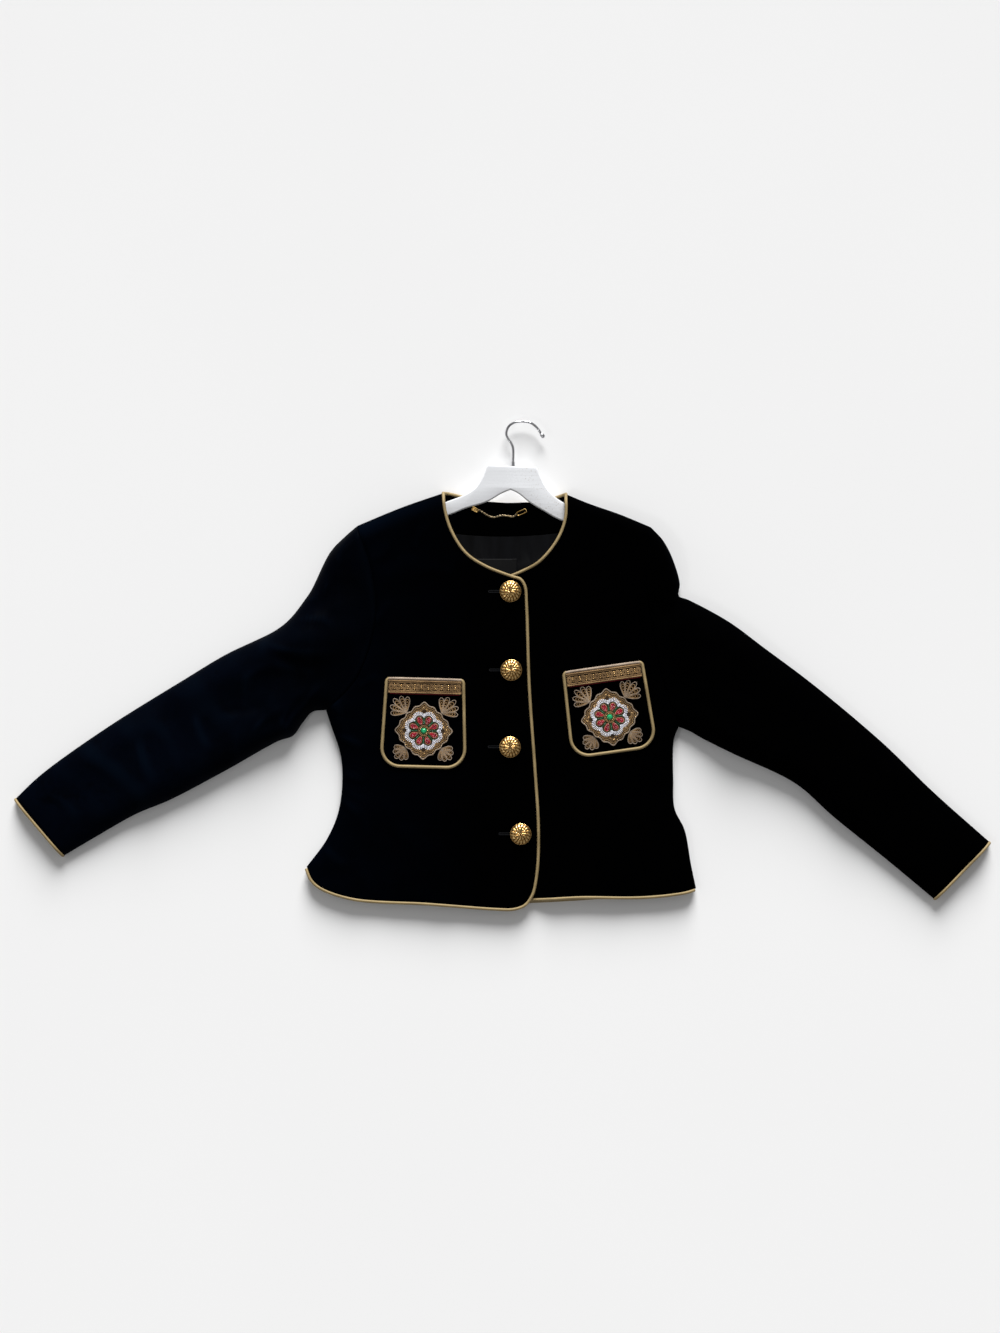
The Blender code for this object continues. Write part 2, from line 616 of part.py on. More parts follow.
def turned(points, size):
    """Points of a pocket's own plane, at the pocket's place."""
    angle = math.radians(size["turn"])
    cosine, sine = math.cos(angle), math.sin(angle)
    x = points[..., 0] * cosine - points[..., 1] * sine + size["x"]
    y = points[..., 0] * sine + points[..., 1] * cosine + size["y"]
    return np.stack([x, y], axis=-1)


def build_pocket(side, panel):
    """A patch pocket with its braid, the lace band along its mouth and the raised embroidery."""
    size = POCKETS[side]
    low, high, left, right = pocket_lines(size, EDGE)
    rows = np.linspace(0.0, left.total, 9)
    plan = turned(patch_points(low, high, left, right, rows, rows, even(7)), size)
    level = panel.heights(plan) + GAP + POCKET_CLOTH
    obj = sheet(f"pocket_{side}", plan, level, POCKET_CLOTH, True, "velvet")
    pocket = Ground(obj)

    ring = np.vstack([plan[0, :-1], plan[:-1, -1], plan[-1, :0:-1], plan[:0:-1, 0]])
    ring = beside(ring, BRAID + GAP, closed=True)
    level = [panel.height(x, y) + GAP + BRAID for x, y in ring]
    rope(f"braid_pocket_{side}", np.column_stack([ring, level]), BRAID, "braid", closed=True)

    half_top = size["top"] / 2 - EDGE - GAP
    edge_y = size["high"] / 2 - EDGE - GAP
    across = np.linspace(-half_top, half_top, 9)
    down = np.linspace(edge_y - BAND_HIGH, edge_y, 3)
    plan = turned(np.array([[(x, y) for x in across] for y in down]), size)
    level = pocket.heights(plan) + GAP + BAND_THICK
    sheet(f"pocket_band_{side}", plan, level, BAND_THICK, True, "lace")
    build_applique(side, size, pocket)


def build_applique(side, size, pocket):
    """Raised embroidery below the band: a scalloped lozenge, flat below and crowned above."""
    bm = bmesh.new()
    bmesh.ops.create_uvsphere(bm, u_segments=32, v_segments=6, radius=1.0)
    for vert in bm.verts:
        angle = math.atan2(vert.co.y, vert.co.x)
        out = math.hypot(vert.co.x, vert.co.y)
        wide, high = abs(math.cos(angle)) / APPLIQUE_WIDE, abs(math.sin(angle)) / APPLIQUE_HIGH
        reach = (wide**1.35 + high**1.35) ** (-1 / 1.35) * (1 + 0.03 * math.cos(APPLIQUE_LOBES * angle))
        local = np.array([math.cos(angle), math.sin(angle)]) * out * reach - np.array([0.0, APPLIQUE_DOWN])
        x, y = turned(local, size)
        rise = APPLIQUE_THICK * max(vert.co.z, 0.0) if out < 0.99 else APPLIQUE_THICK * 0.3
        vert.co = place(x, y, pocket.height(x, y) + GAP + rise)
    mesh = bpy.data.meshes.new(f"applique_{side}")
    bm.to_mesh(mesh)
    bm.free()
    finish(bpy.data.objects.new(f"applique_{side}", mesh), "applique")


def build_button(number, x, y, panel):
    """A domed metal button, turned from its profile, standing on its shank."""
    around = [(x + BUTTON_PROFILE[1][0] * math.cos(t), y + BUTTON_PROFILE[1][0] * math.sin(t)) for t in range(6)]
    base = max(panel.height(*spot) for spot in [(x, y), *around]) + GAP
    bm = bmesh.new()
    chain = [bm.verts.new((radius * MM, 0.0, height * MM)) for radius, height in BUTTON_PROFILE]
    edges = [bm.edges.new(pair) for pair in zip(chain, chain[1:])]
    bmesh.ops.spin(
        bm, geom=chain + edges, cent=(0, 0, 0), axis=(0, 0, 1), angle=math.tau, steps=BUTTON_SIDES, use_merge=True
    )
    bmesh.ops.remove_doubles(bm, verts=bm.verts, dist=0.00005)
    bmesh.ops.recalc_face_normals(bm, faces=bm.faces)
    mesh = bpy.data.meshes.new(f"button_{number}")
    bm.to_mesh(mesh)
    bm.free()
    obj = finish(bpy.data.objects.new(f"button_{number}", mesh), "gold", 50.0)
    obj.location = place(x, y, base)


def build_neck():
    """The facing inside the back of the neck, the lining below it, the label and the chain loop."""
    top, low = Line.through(FACING_TOP), Line.through(FACING_LOW)
    left, right = Line([low.share(0.0), top.share(0.0)]), Line([low.share(1.0), top.share(1.0)])
    shares = np.array([0.0, 0.3, 0.55, 0.76, 0.84, 0.91, 1.0])
    plan = patch_points(low, top, left, right, shares * left.total, shares * right.total, even(10))
    from_top = np.linalg.norm(plan - plan[-1:], axis=-1)
    middle = ease((58.0 - np.abs(plan[..., 0] - 4.0)) / 14.0)
    lift = FACING_ROLL * ease((10.0 - from_top) / 6.0) * middle
    level = CLOTH + GAP + FACING + lift
    facing = Ground(sheet("neck_facing", plan, level, FACING, True, "velvet"))

    edge = low.moved(-GAP)
    base = Line([(edge.points[0, 0], LINING_LOW_Y), (edge.points[-1, 0], LINING_LOW_Y)])
    left, right = Line([base.share(0.0), edge.share(0.0)]), Line([base.share(1.0), edge.share(1.0)])
    shares = np.linspace(0.0, 1.0, 5)
    plan = patch_points(base, edge, left, right, shares * left.total, shares * right.total, even(21))
    wave = np.sin(plan[..., 0] / 7.3 + plan[..., 1] / 31.0) * np.sin(plan[..., 0] / 17.0)
    level = CLOTH + GAP + LINING + LINING_FOLD * np.abs(wave)
    lining = Ground(sheet("lining", plan, level, LINING, True, "lining"))

    half_wide, half_high = LABEL["wide"] / 2, LABEL["high"] / 2
    across = LABEL["x"] + np.linspace(-half_wide, half_wide, 9)
    up = LABEL["y"] + np.linspace(-half_high, half_high, 3)
    plan = np.array([[(x, y) for x in across] for y in up])
    flat = lining.heights(plan).max() + GAP + LABEL["thick"]
    sheet("label", plan, np.full(plan.shape[:2], flat), LABEL["thick"], True, "label")
    build_chain(facing)


def build_chain(facing):
    """The chain that the jacket hangs by, between two small metal tabs."""
    line = Line.through(CHAIN)
    points = line.share(np.linspace(0.0, 1.0, 12))
    level = [facing.height(x, y) + GAP + CHAIN_RADIUS for x, y in points]
    rope("chain", np.column_stack([points, level]), CHAIN_RADIUS, "gold")
    for side, (x, y, wide, high) in CHAIN_TABS.items():
        corners = [(x + sx * wide / 2, y + sy * high / 2) for sx in (-1, 1) for sy in (-1, 1)]
        base = max(facing.height(*corner) for corner in corners) + GAP
        bm = bmesh.new()
        bmesh.ops.create_cube(bm, size=1.0)
        for vert in bm.verts:
            vert.co = Vector((vert.co.x * wide, vert.co.y * high, vert.co.z * TAB_THICK)) * MM
        bmesh.ops.bevel(bm, geom=bm.edges, offset=0.3 * MM, segments=1, profile=0.5, affect="EDGES")
        mesh = bpy.data.meshes.new(f"chain_tab_{side}")
        bm.to_mesh(mesh)
        bm.free()
        obj = finish(bpy.data.objects.new(f"chain_tab_{side}", mesh), "gold")
        obj.location = place(x, y, base + TAB_THICK / 2)


def build_hanger():
    """A flat wooden hanger with eased edges, and its wire hook."""
    bm = bmesh.new()
    ring = [bm.verts.new(place(x, y, HANGER_Z)) for x, y in HANGER_BAR]
    base = bm.faces.new(ring)
    lifted = bmesh.ops.extrude_face_region(bm, geom=[base])
    new = [item for item in lifted["geom"] if isinstance(item, bmesh.types.BMVert)]
    bmesh.ops.translate(bm, verts=new, vec=(0.0, 0.0, HANGER_THICK * MM))
    bmesh.ops.recalc_face_normals(bm, faces=bm.faces)
    rims = [edge for edge in bm.edges if abs(edge.verts[0].co.z - edge.verts[1].co.z) < 1e-6]
    bmesh.ops.bevel(bm, geom=rims, offset=HANGER_EDGE * MM, segments=1, profile=0.5, affect="EDGES")
    mesh = bpy.data.meshes.new("hanger_bar")
    bm.to_mesh(mesh)
    bm.free()
    finish(bpy.data.objects.new("hanger_bar", mesh), "wood")
    line = Line.through(HOOK)
    points = line.share(np.linspace(0.0, 1.0, 26))
    level = np.full(len(points), HANGER_Z + HANGER_THICK / 2)
    rope("hanger_hook", np.column_stack([points, level]), HOOK_RADIUS, "chrome", resolution=2)


def main():
    """Builds the whole jacket and its hanger."""
    clear_scene()
    plans, heights = build_body()
    for side in SIDES:
        build_sleeve(side)
    build_braids(plans, heights)
    for side in SIDES:
        build_pocket(side, Ground(bpy.data.objects[f"front_{side}"]))
    top_front = Ground(bpy.data.objects["front_right"])
    for number, (x, y) in enumerate(BUTTONS, 1):
        build_button(number, x, y, top_front)
    build_neck()
    build_hanger()


main()
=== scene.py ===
"""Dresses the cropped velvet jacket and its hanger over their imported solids.

+X runs to the right as seen from above, +Y towards the hanger's hook and +Z up from the surface.
Pieces are named right and left as the wearer would, so the right side is at -X. The tables are in
millimetres, and a mesh takes them times MM, in metres.
"""

from __future__ import annotations

import enum
import itertools
import logging
import math
import random
from dataclasses import dataclass, field
from typing import Callable, Iterable, Sequence

import bmesh
import bpy
import numpy as np
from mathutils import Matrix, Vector
from mathutils.bvhtree import BVHTree


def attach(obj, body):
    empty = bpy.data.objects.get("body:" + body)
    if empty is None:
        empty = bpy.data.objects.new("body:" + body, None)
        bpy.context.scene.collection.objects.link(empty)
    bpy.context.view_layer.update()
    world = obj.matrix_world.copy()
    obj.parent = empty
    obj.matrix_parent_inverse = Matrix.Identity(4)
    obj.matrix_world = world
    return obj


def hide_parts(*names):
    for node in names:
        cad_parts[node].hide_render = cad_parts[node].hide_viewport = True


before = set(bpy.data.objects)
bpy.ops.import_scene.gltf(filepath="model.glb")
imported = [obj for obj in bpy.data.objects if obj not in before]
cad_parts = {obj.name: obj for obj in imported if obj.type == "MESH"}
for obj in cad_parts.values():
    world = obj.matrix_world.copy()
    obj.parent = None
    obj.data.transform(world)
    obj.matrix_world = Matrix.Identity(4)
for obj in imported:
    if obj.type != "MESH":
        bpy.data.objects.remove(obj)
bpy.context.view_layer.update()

LOG = logging.getLogger("jacket")

MM = 0.001
BODY = "root"
ORIGIN_X = 1.25  # the middle of the whole part, on the tables below

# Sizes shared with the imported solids
GAP = 0.3  # between a piece and what it lies on
ARMHOLE_GAP = 0.5
CLOTH = 2.0  # the velvet's wall
SEAM_Z = 7.0  # height of the seams in the rolled edges
SEAM_PART = 0.2  # how far each layer keeps from that height
UNDER_ROUND = 9.0
BRAID = 2.1  # radius
LOWEST = BRAID + 0.05  # height of a braid's middle where it rests on the surface
BITE = 0.5  # how far a bound edge sits inside its braid
EDGE = 2 * BRAID - BITE
LAP_DIP = 6.0  # how far the under front dips below the top one
LAP_SLOPE = 30.0
NECK_TRIM = 7.0
CURVE_STEP = 2.0
RAY_START = 200.0
EDGE_NUDGES = (0.0, 0.05, -0.07, 0.2, -0.5, 1.0)
# Distances of the rows or columns that follow a rolled edge
NEAR_SEAM = (0.0, 0.15, 0.7, 1.6, 2.8, 4.4, 6.4, 8.8, 11.6, 14.8, 18.4)

Array = np.ndarray
Values = Array | float
Row = tuple[float, ...]
Table = Sequence[Row]
BMesh = bmesh.types.BMesh
Piece = bpy.types.Object
Socket = bpy.types.NodeSocket

# Outline tables, each row a point that the smooth edge passes through
SHOULDER_RIGHT = ((-73.8, 225.6), (-129.9, 206.1), (-187.9, 182.1))
SHOULDER_LEFT = ((82, 224.3), (114.5, 211), (154.1, 197.1), (194.7, 180.3))
SLEEVE_TOP_RIGHT = (
    (-187.9, 182.1), (-204.5, 167.6), (-223.1, 147.9), (-248, 98.2), (-256.4, 85.7), (-275, 61.8), (-294.5, 46),
    (-360.1, 14), (-411.5, -16.9), (-517, -82.6), (-600.9, -142.7), (-635.6, -175.6),
)
SLEEVE_TOP_LEFT = (
    (194.7, 180.3), (210.5, 163.2), (222.7, 140), (232.5, 106.2), (230.8, 90.9), (243, 86), (295.8, 57.5),
    (342.6, 23), (407.6, -25.7), (497, -100.9), (562, -163.9), (638.3, -231.8),
)
SLEEVE_LOW_RIGHT = (
    (-228.8, -57.9), (-247, -60.7), (-259.7, -75.3), (-272, -91.7), (-290.8, -98.5), (-360.1, -137.2), (-433, -175.6),
    (-476.8, -193.8), (-531.6, -224.9), (-573, -249.3),
)
SLEEVE_LOW_LEFT = (
    (230.8, -79.8), (246, -86), (261.3, -94.8), (302, -115), (383.2, -153.8), (432, -196.4), (505, -255.3),
    (566, -306),
)
SIDE_RIGHT = ((-256.1, -265.1), (-226.9, -224.9), (-211.3, -184.7), (-208.7, -122.9), (-223.3, -75.3), (-228.8, -57.9))
SIDE_LEFT = (
    (254.4, -293.9), (247.1, -259.4), (238.9, -214.6), (225.6, -186.3), (224, -149.6), (224.8, -96.9), (230.8, -79.8),
)
ARMHOLE_RIGHT = ((-228.8, -57.9), (-205, -37), (-184, -9), (-163.2, 59.2), (-168.4, 124.2), (-187.9, 182.1))
ARMHOLE_LEFT = ((230.8, -79.8), (219, -50), (208, -15), (194, 57), (187, 122), (194.7, 180.3))
HEM_RIGHT = (
    (-256.1, -265.1), (-248, -282.8), (-234.7, -293.8), (-192.1, -307.3), (-95.8, -312.9), (-6.2, -319.5),
    (16.1, -319.5), (31.7, -314), (38, -307),
)
FRONT_EDGE_RIGHT = (
    (38, -307), (43.5, -296), (49, -262), (50, -208.7), (45.2, -130.4), (38, -25.9), (34.5, 78.7), (32.2, 104.1),
    (25.4, 114.2), (15.2, 117.5), (-20.2, 131.3), (-44.9, 147.9), (-63.6, 176.9), (-72, 205), (-73.8, 225.6),
)
HEM_LEFT = (
    (254.4, -293.9), (237.3, -298.5), (185.3, -304.1), (101.5, -304.1), (45.2, -307.3), (8, -308), (-6, -301),
)
FRONT_EDGE_LEFT = (
    (-6, -301), (-12, -285), (-13, -208.7), (-13, 0), (-12, 90), (-6, 106), (6, 116), (24, 123.9), (47.3, 136.6),
    (70.5, 164.6), (81, 192), (82, 224.3),
)
HEM_BACK = ((-256.1, -265.1), (-236, -289), (-180, -303), (0, -311), (180, -301), (254.4, -293.9))
NECK_BACK = ((-73.8, 225.6), (-51, 221.6), (-18.9, 213.2), (8.5, 211.3), (35.8, 212.6), (70.9, 220.4), (82, 224.3))

# Height of the top layer: along the body by y, along a sleeve by the share of its length
BODY_CROWN = ((-320, 15), (-200, 18), (-60, 22), (60, 26), (140, 28), (230, 25))
BODY_ROUND = ((-320, 18), (-60, 20), (120, 17), (230, 13))
SLEEVE_CROWN = ((0, 34), (0.2, 38), (0.4, 33), (0.7, 27), (1, 19))
SLEEVE_ROUND = ((0, 24), (0.25, 34), (0.6, 36), (1, 28))
SHOULDER_LIFT = 7.0

# Large folds: from (x1, y1) to (x2, y2), how wide and how high
FOLDS = (
    (-305, 24, -195, 42, 13, 3.5), (-250, 74, -196, 100, 12, -4), (-345, -45, -265, -12, 15, -3.5),
    (-425, -62, -360, -112, 15, -3), (-530, -112, -468, -165, 14, 2.5), (-292, -70, -236, -18, 13, -4),
    (236, 84, 196, 72, 12, -4), (310, 18, 226, 44, 14, 3.5), (296, -84, 240, -30, 13, -4),
    (395, -40, 345, -105, 16, -3.5), (505, -140, 450, -190, 15, 2.5), (-212, -118, -168, -142, 15, -3),
    (222, -150, 184, -168, 15, -3), (-64, -165, -84, -300, 22, 2.5), (128, -150, 140, -300, 22, 2.5),
    (-150, 118, -118, 56, 18, -2.5), (152, 118, 120, 60, 18, -2.5),
)

# Fine creases: from (x1, y1) to (x2, y2), how far the middle bows to the left, how wide and how high
CREASES = (
    (-300, 26, -206, 22, -7, 4.6, 2.4), (-292, 12, -212, 2, -6, 4, -1.8), (-262, 60, -214, 52, 5, 3.6, 2.1),
    (-252, 84, -222, 112, -6, 3.2, 2.6), (-238, 86, -212, 122, -4, 3, -2.2), (-233, 60, -203, 86, 3, 3.4, 1.6),
    (-340, -20, -262, -2, 8, 5, 1.9), (-356, -58, -300, -44, -6, 4.4, -1.7), (-322, -84, -270, -52, 5, 4.2, 2),
    (-282, -80, -250, -40, 4, 3.4, -2.2), (-262, -66, -228, -22, 4, 3.4, 1.9), (-398, -66, -372, -112, -4, 5, 1.7),
    (-438, -60, -402, -128, 6, 6.4, -1.5), (-470, -98, -446, -156, -5, 5.4, 1.3),
    (-548, -128, -500, -168, 4, 6, -1.2), (-586, -166, -548, -204, 5, 5.2, 1.1), (-214, 132, -196, 164, 3, 3.4, 1.7),
    (-206, 96, -184, 140, 5, 4.6, -1.5), (234, 92, 204, 84, 4, 3.2, 2.5), (240, 78, 206, 58, -5, 3.6, -2.3),
    (258, 66, 214, 36, -5, 4.4, 2.1), (304, 34, 240, 18, 6, 4.8, -1.8), (338, -6, 262, 6, 6, 5.4, 1.9),
    (332, -48, 268, -28, -6, 4.8, -1.7), (304, -98, 252, -58, -4, 4, 2.2), (278, -98, 244, -54, 4, 3.4, -2.2),
    (262, -92, 232, -48, -4, 3.6, 1.8), (372, -48, 348, -92, 5, 5.4, 1.7), (418, -52, 384, -122, -6, 6.2, -1.6),
    (462, -100, 424, -160, 5, 6, 1.4), (536, -164, 494, -214, -4, 6, -1.2), (584, -204, 552, -254, -4, 5.2, 1.1),
    (206, 128, 214, 158, -3, 3.4, 1.5), (-222, -92, -176, -110, 4, 4.6, 1.8), (-214, -142, -172, -160, -4, 4.6, -1.6),
    (-214, -172, -184, -196, 3, 4.4, 1.2), (-230, -232, -196, -262, -4, 6, 1.2), (226, -112, 188, -122, -4, 4.6, 1.7),
    (224, -176, 190, -196, 4, 4.8, 1.4), (-186, -32, -158, -10, 3, 4.4, 1.4), (204, -48, 184, -18, -3, 4.4, 1.4),
    (-168, 52, -146, 96, -3, 5.4, 1.3), (-158, 128, -132, 168, -5, 6.6, -1.3), (-112, 150, -96, 190, 3, 6, 1.1),
    (186, 58, 168, 102, 3, 5.4, 1.3), (170, 130, 146, 172, 5, 6.6, -1.3), (112, 150, 104, 190, -3, 6, 1.1),
    (-176, -196, -186, -286, 4, 8.5, 1.6), (-128, -216, -136, -300, -4, 7.5, -1.3), (-22, -236, -28, -308, 3, 8, 1.2),
    (92, -196, 96, -300, -4, 8, -1.2), (184, -190, 196, -296, 4, 8.5, 1.5), (66, 118, 116, 132, 4, 7.5, 1),
    (-60, 120, -112, 126, -4, 7.5, 1),
)
# Shallow creases of the underside, in the same form
UNDER_CREASES = (
    (-196, 40, -120, 12, 6, 6, 1.6), (-186, -60, -128, -36, -5, 5, 1.9), (-170, -180, -60, -210, 8, 7, 1.4),
    (-40, -20, 60, -44, -6, 6, 1.3), (190, 30, 120, 6, -6, 6, 1.7), (196, -96, 130, -70, 5, 5, 1.8),
    (160, -220, 70, -236, 6, 7, 1.2), (-330, 4, -262, 30, -6, 5, 2), (-352, -70, -296, -36, 5, 5, 1.8),
    (-440, -96, -404, -146, -4, 6, 1.6), (-548, -150, -506, -190, 4, 6, 1.2), (318, 4, 262, 38, 6, 5, 2),
    (340, -84, 284, -46, -5, 5, 1.8), (430, -108, 392, -160, 5, 6, 1.5), (552, -194, 508, -242, -4, 6, 1.2),
)
UNEVEN = ((37.0, 0.55), (61.0, 0.9), (23.0, 0.28))  # soft unevenness: how long each wave is, and how high
SEAM_SINK = 1.5  # how far the cloth dips at a seam that is sewn
SEAM_WIDE = 2.4


def ease(value: Values) -> Array:
    """0 below 0, 1 above 1, and a smooth step between."""
    value = np.clip(value, 0.0, 1.0)
    return value * value * (3.0 - 2.0 * value)


def from_table(rows: Table, where: Values) -> Array:
    """The value at a place, between the rows (place, value) of a table."""
    places, values = zip(*rows)
    return np.interp(where, places, values)


def rotated(x: Values, y: Values, angle: float) -> tuple:
    """The coordinates x and y turned about the origin by an angle in radians."""
    cosine, sine = math.cos(angle), math.sin(angle)
    return x * cosine - y * sine, x * sine + y * cosine


def angles_round(count: int) -> Array:
    """This many angles, evenly all round."""
    return np.linspace(0.0, math.tau, count, endpoint=False)


def place(x: float, y: float, z: float) -> Vector:
    """A point of the tables as a point of the scene, in metres."""
    return Vector(((x - ORIGIN_X) * MM, y * MM, z * MM))


@dataclass
class Line:
    """A smooth line in the plane, held as close points with the distance along it."""

    points: Array
    along: Array = field(init=False)
    total: float = field(init=False)

    def __post_init__(self) -> None:
        """Measures the line."""
        self.points = np.array(self.points, float)
        steps = np.linalg.norm(np.diff(self.points, axis=0), axis=1)
        self.along = np.concatenate([[0.0], np.cumsum(steps)])
        self.total = float(self.along[-1])

    @classmethod
    def through(cls, table: Table, step: float = CURVE_STEP) -> Line:
        """The centripetal Catmull-Rom line through a table's points.

        Args:
            table: the points that it passes through.
            step: rough distance between the points that hold it.

        Returns:
            The line.
        """
        knots = np.array(table, float)
        ends = 2 * knots[0] - knots[1], 2 * knots[-1] - knots[-2]
        knots = np.vstack([ends[0], knots, ends[1]])
        found = []
        for a, b, c, d in zip(knots, knots[1:], knots[2:], knots[3:]):
            t1 = math.sqrt(np.linalg.norm(b - a))
            t2 = t1 + math.sqrt(np.linalg.norm(c - b))
            t3 = t2 + math.sqrt(np.linalg.norm(d - c))
            count = max(2, int(np.linalg.norm(c - b) / step))
            for t in np.linspace(t1, t2, count, endpoint=False):
                ab = a + (b - a) * t / t1
                bc = b + (c - b) * (t - t1) / (t2 - t1)
                cd = c + (d - c) * (t - t2) / (t3 - t2)
                abc = ab + (bc - ab) * t / t2
                bcd = bc + (cd - bc) * (t - t1) / (t3 - t1)
                found.append(abc + (bcd - abc) * (t - t1) / (t2 - t1))
        found.append(knots[-2])
        return cls(np.array(found))

    def at(self, distance: Values) -> Array:
        """The point, or points, this far along."""
        columns = range(self.points.shape[1])
        return np.stack([np.interp(distance, self.along, self.points[:, k]) for k in columns], axis=-1)

    def share(self, fraction: Values) -> Array:
        """The point at this share of the length."""
        return self.at(np.asarray(fraction) * self.total)

    def evenly(self, step: float) -> Array:
        """Points along the line, about this far apart."""
        return self.share(np.linspace(0.0, 1.0, max(2, round(self.total / step) + 1)))

    def moved(self, distance: float) -> Line:
        """The line moved this far to its left side, which keeps the first line's distances."""
        run = np.gradient(self.points, self.along, axis=0)
        run /= np.linalg.norm(run, axis=1)[:, None]
        return self.keeping(self.points + distance * np.stack([-run[:, 1], run[:, 0]], axis=1))

    def ends_at(self, first: Array, last: Array) -> Line:
        """The same line with its ends drawn to these two points."""
        share = (self.along / self.total)[:, None]
        shift = (first - self.points[0]) * (1 - share) ** 8 + (last - self.points[-1]) * share**8
        return self.keeping(self.points + shift)

    def keeping(self, points: Array) -> Line:
        """A line through other points, with this one's distances."""
        found = Line(points)
        found.along, found.total = self.along, self.total
        return found

    def after(self, distance: float) -> Line:
        """What is left of the line past this distance."""
        return Line(np.vstack([self.at(distance)[None], self.points[self.along > distance + 0.01]]))

    def before(self, distance: float) -> Line:
        """The line up to this distance."""
        return Line(np.vstack([self.points[self.along < distance - 0.01], self.at(distance)[None]]))

    def join(self, other: Line) -> Line:
        """This line and then the other."""
        return Line(np.vstack([self.points, other.points[1:]]))

    def back(self) -> Line:
        """The line run the other way."""
        return Line(self.points[::-1])


def nearest(points: Array, lines: Iterable[Line]) -> Array:
    """How far each point lies from the nearest of the lines.

    Args:
        points: an array of (x, y).
        lines: the lines.

    Returns:
        A distance for each point.
    """
    flat = points.reshape(-1, 2)
    best = np.full(len(flat), 1e9)
    for line in lines:
        start, step = line.points[:-1], np.diff(line.points, axis=0)
        length = (step * step).sum(-1)
        for first in range(0, len(flat), 4000):
            rel = flat[first : first + 4000, None, :] - start
            t = np.clip((rel * step).sum(-1) / length, 0.0, 1.0)
            gap = np.linalg.norm(rel - t[..., None] * step, axis=-1).min(axis=-1)
            best[first : first + 4000] = np.minimum(best[first : first + 4000], gap)
    return best.reshape(points.shape[:-1])


class Side(enum.Enum):
    """The two sides of the jacket, as the wearer names them."""

    RIGHT = "right"
    LEFT = "left"

    @property
    def outward(self) -> float:
        """Which way along X leads out to this side's sleeve."""
        return -1.0 if self is Side.RIGHT else 1.0


@dataclass(frozen=True)
class Seams:
    """The lines where one side's panels meet or end."""

    side: Line
    armhole: Line
    shoulder: Line
    sleeve_top: Line
    sleeve_low: Line


SEAMS = {
    Side.RIGHT: Seams(
        *map(Line.through, (SIDE_RIGHT, ARMHOLE_RIGHT, SHOULDER_RIGHT, SLEEVE_TOP_RIGHT, SLEEVE_LOW_RIGHT))
    ),
    Side.LEFT: Seams(*map(Line.through, (SIDE_LEFT, ARMHOLE_LEFT, SHOULDER_LEFT, SLEEVE_TOP_LEFT, SLEEVE_LOW_LEFT))),
}


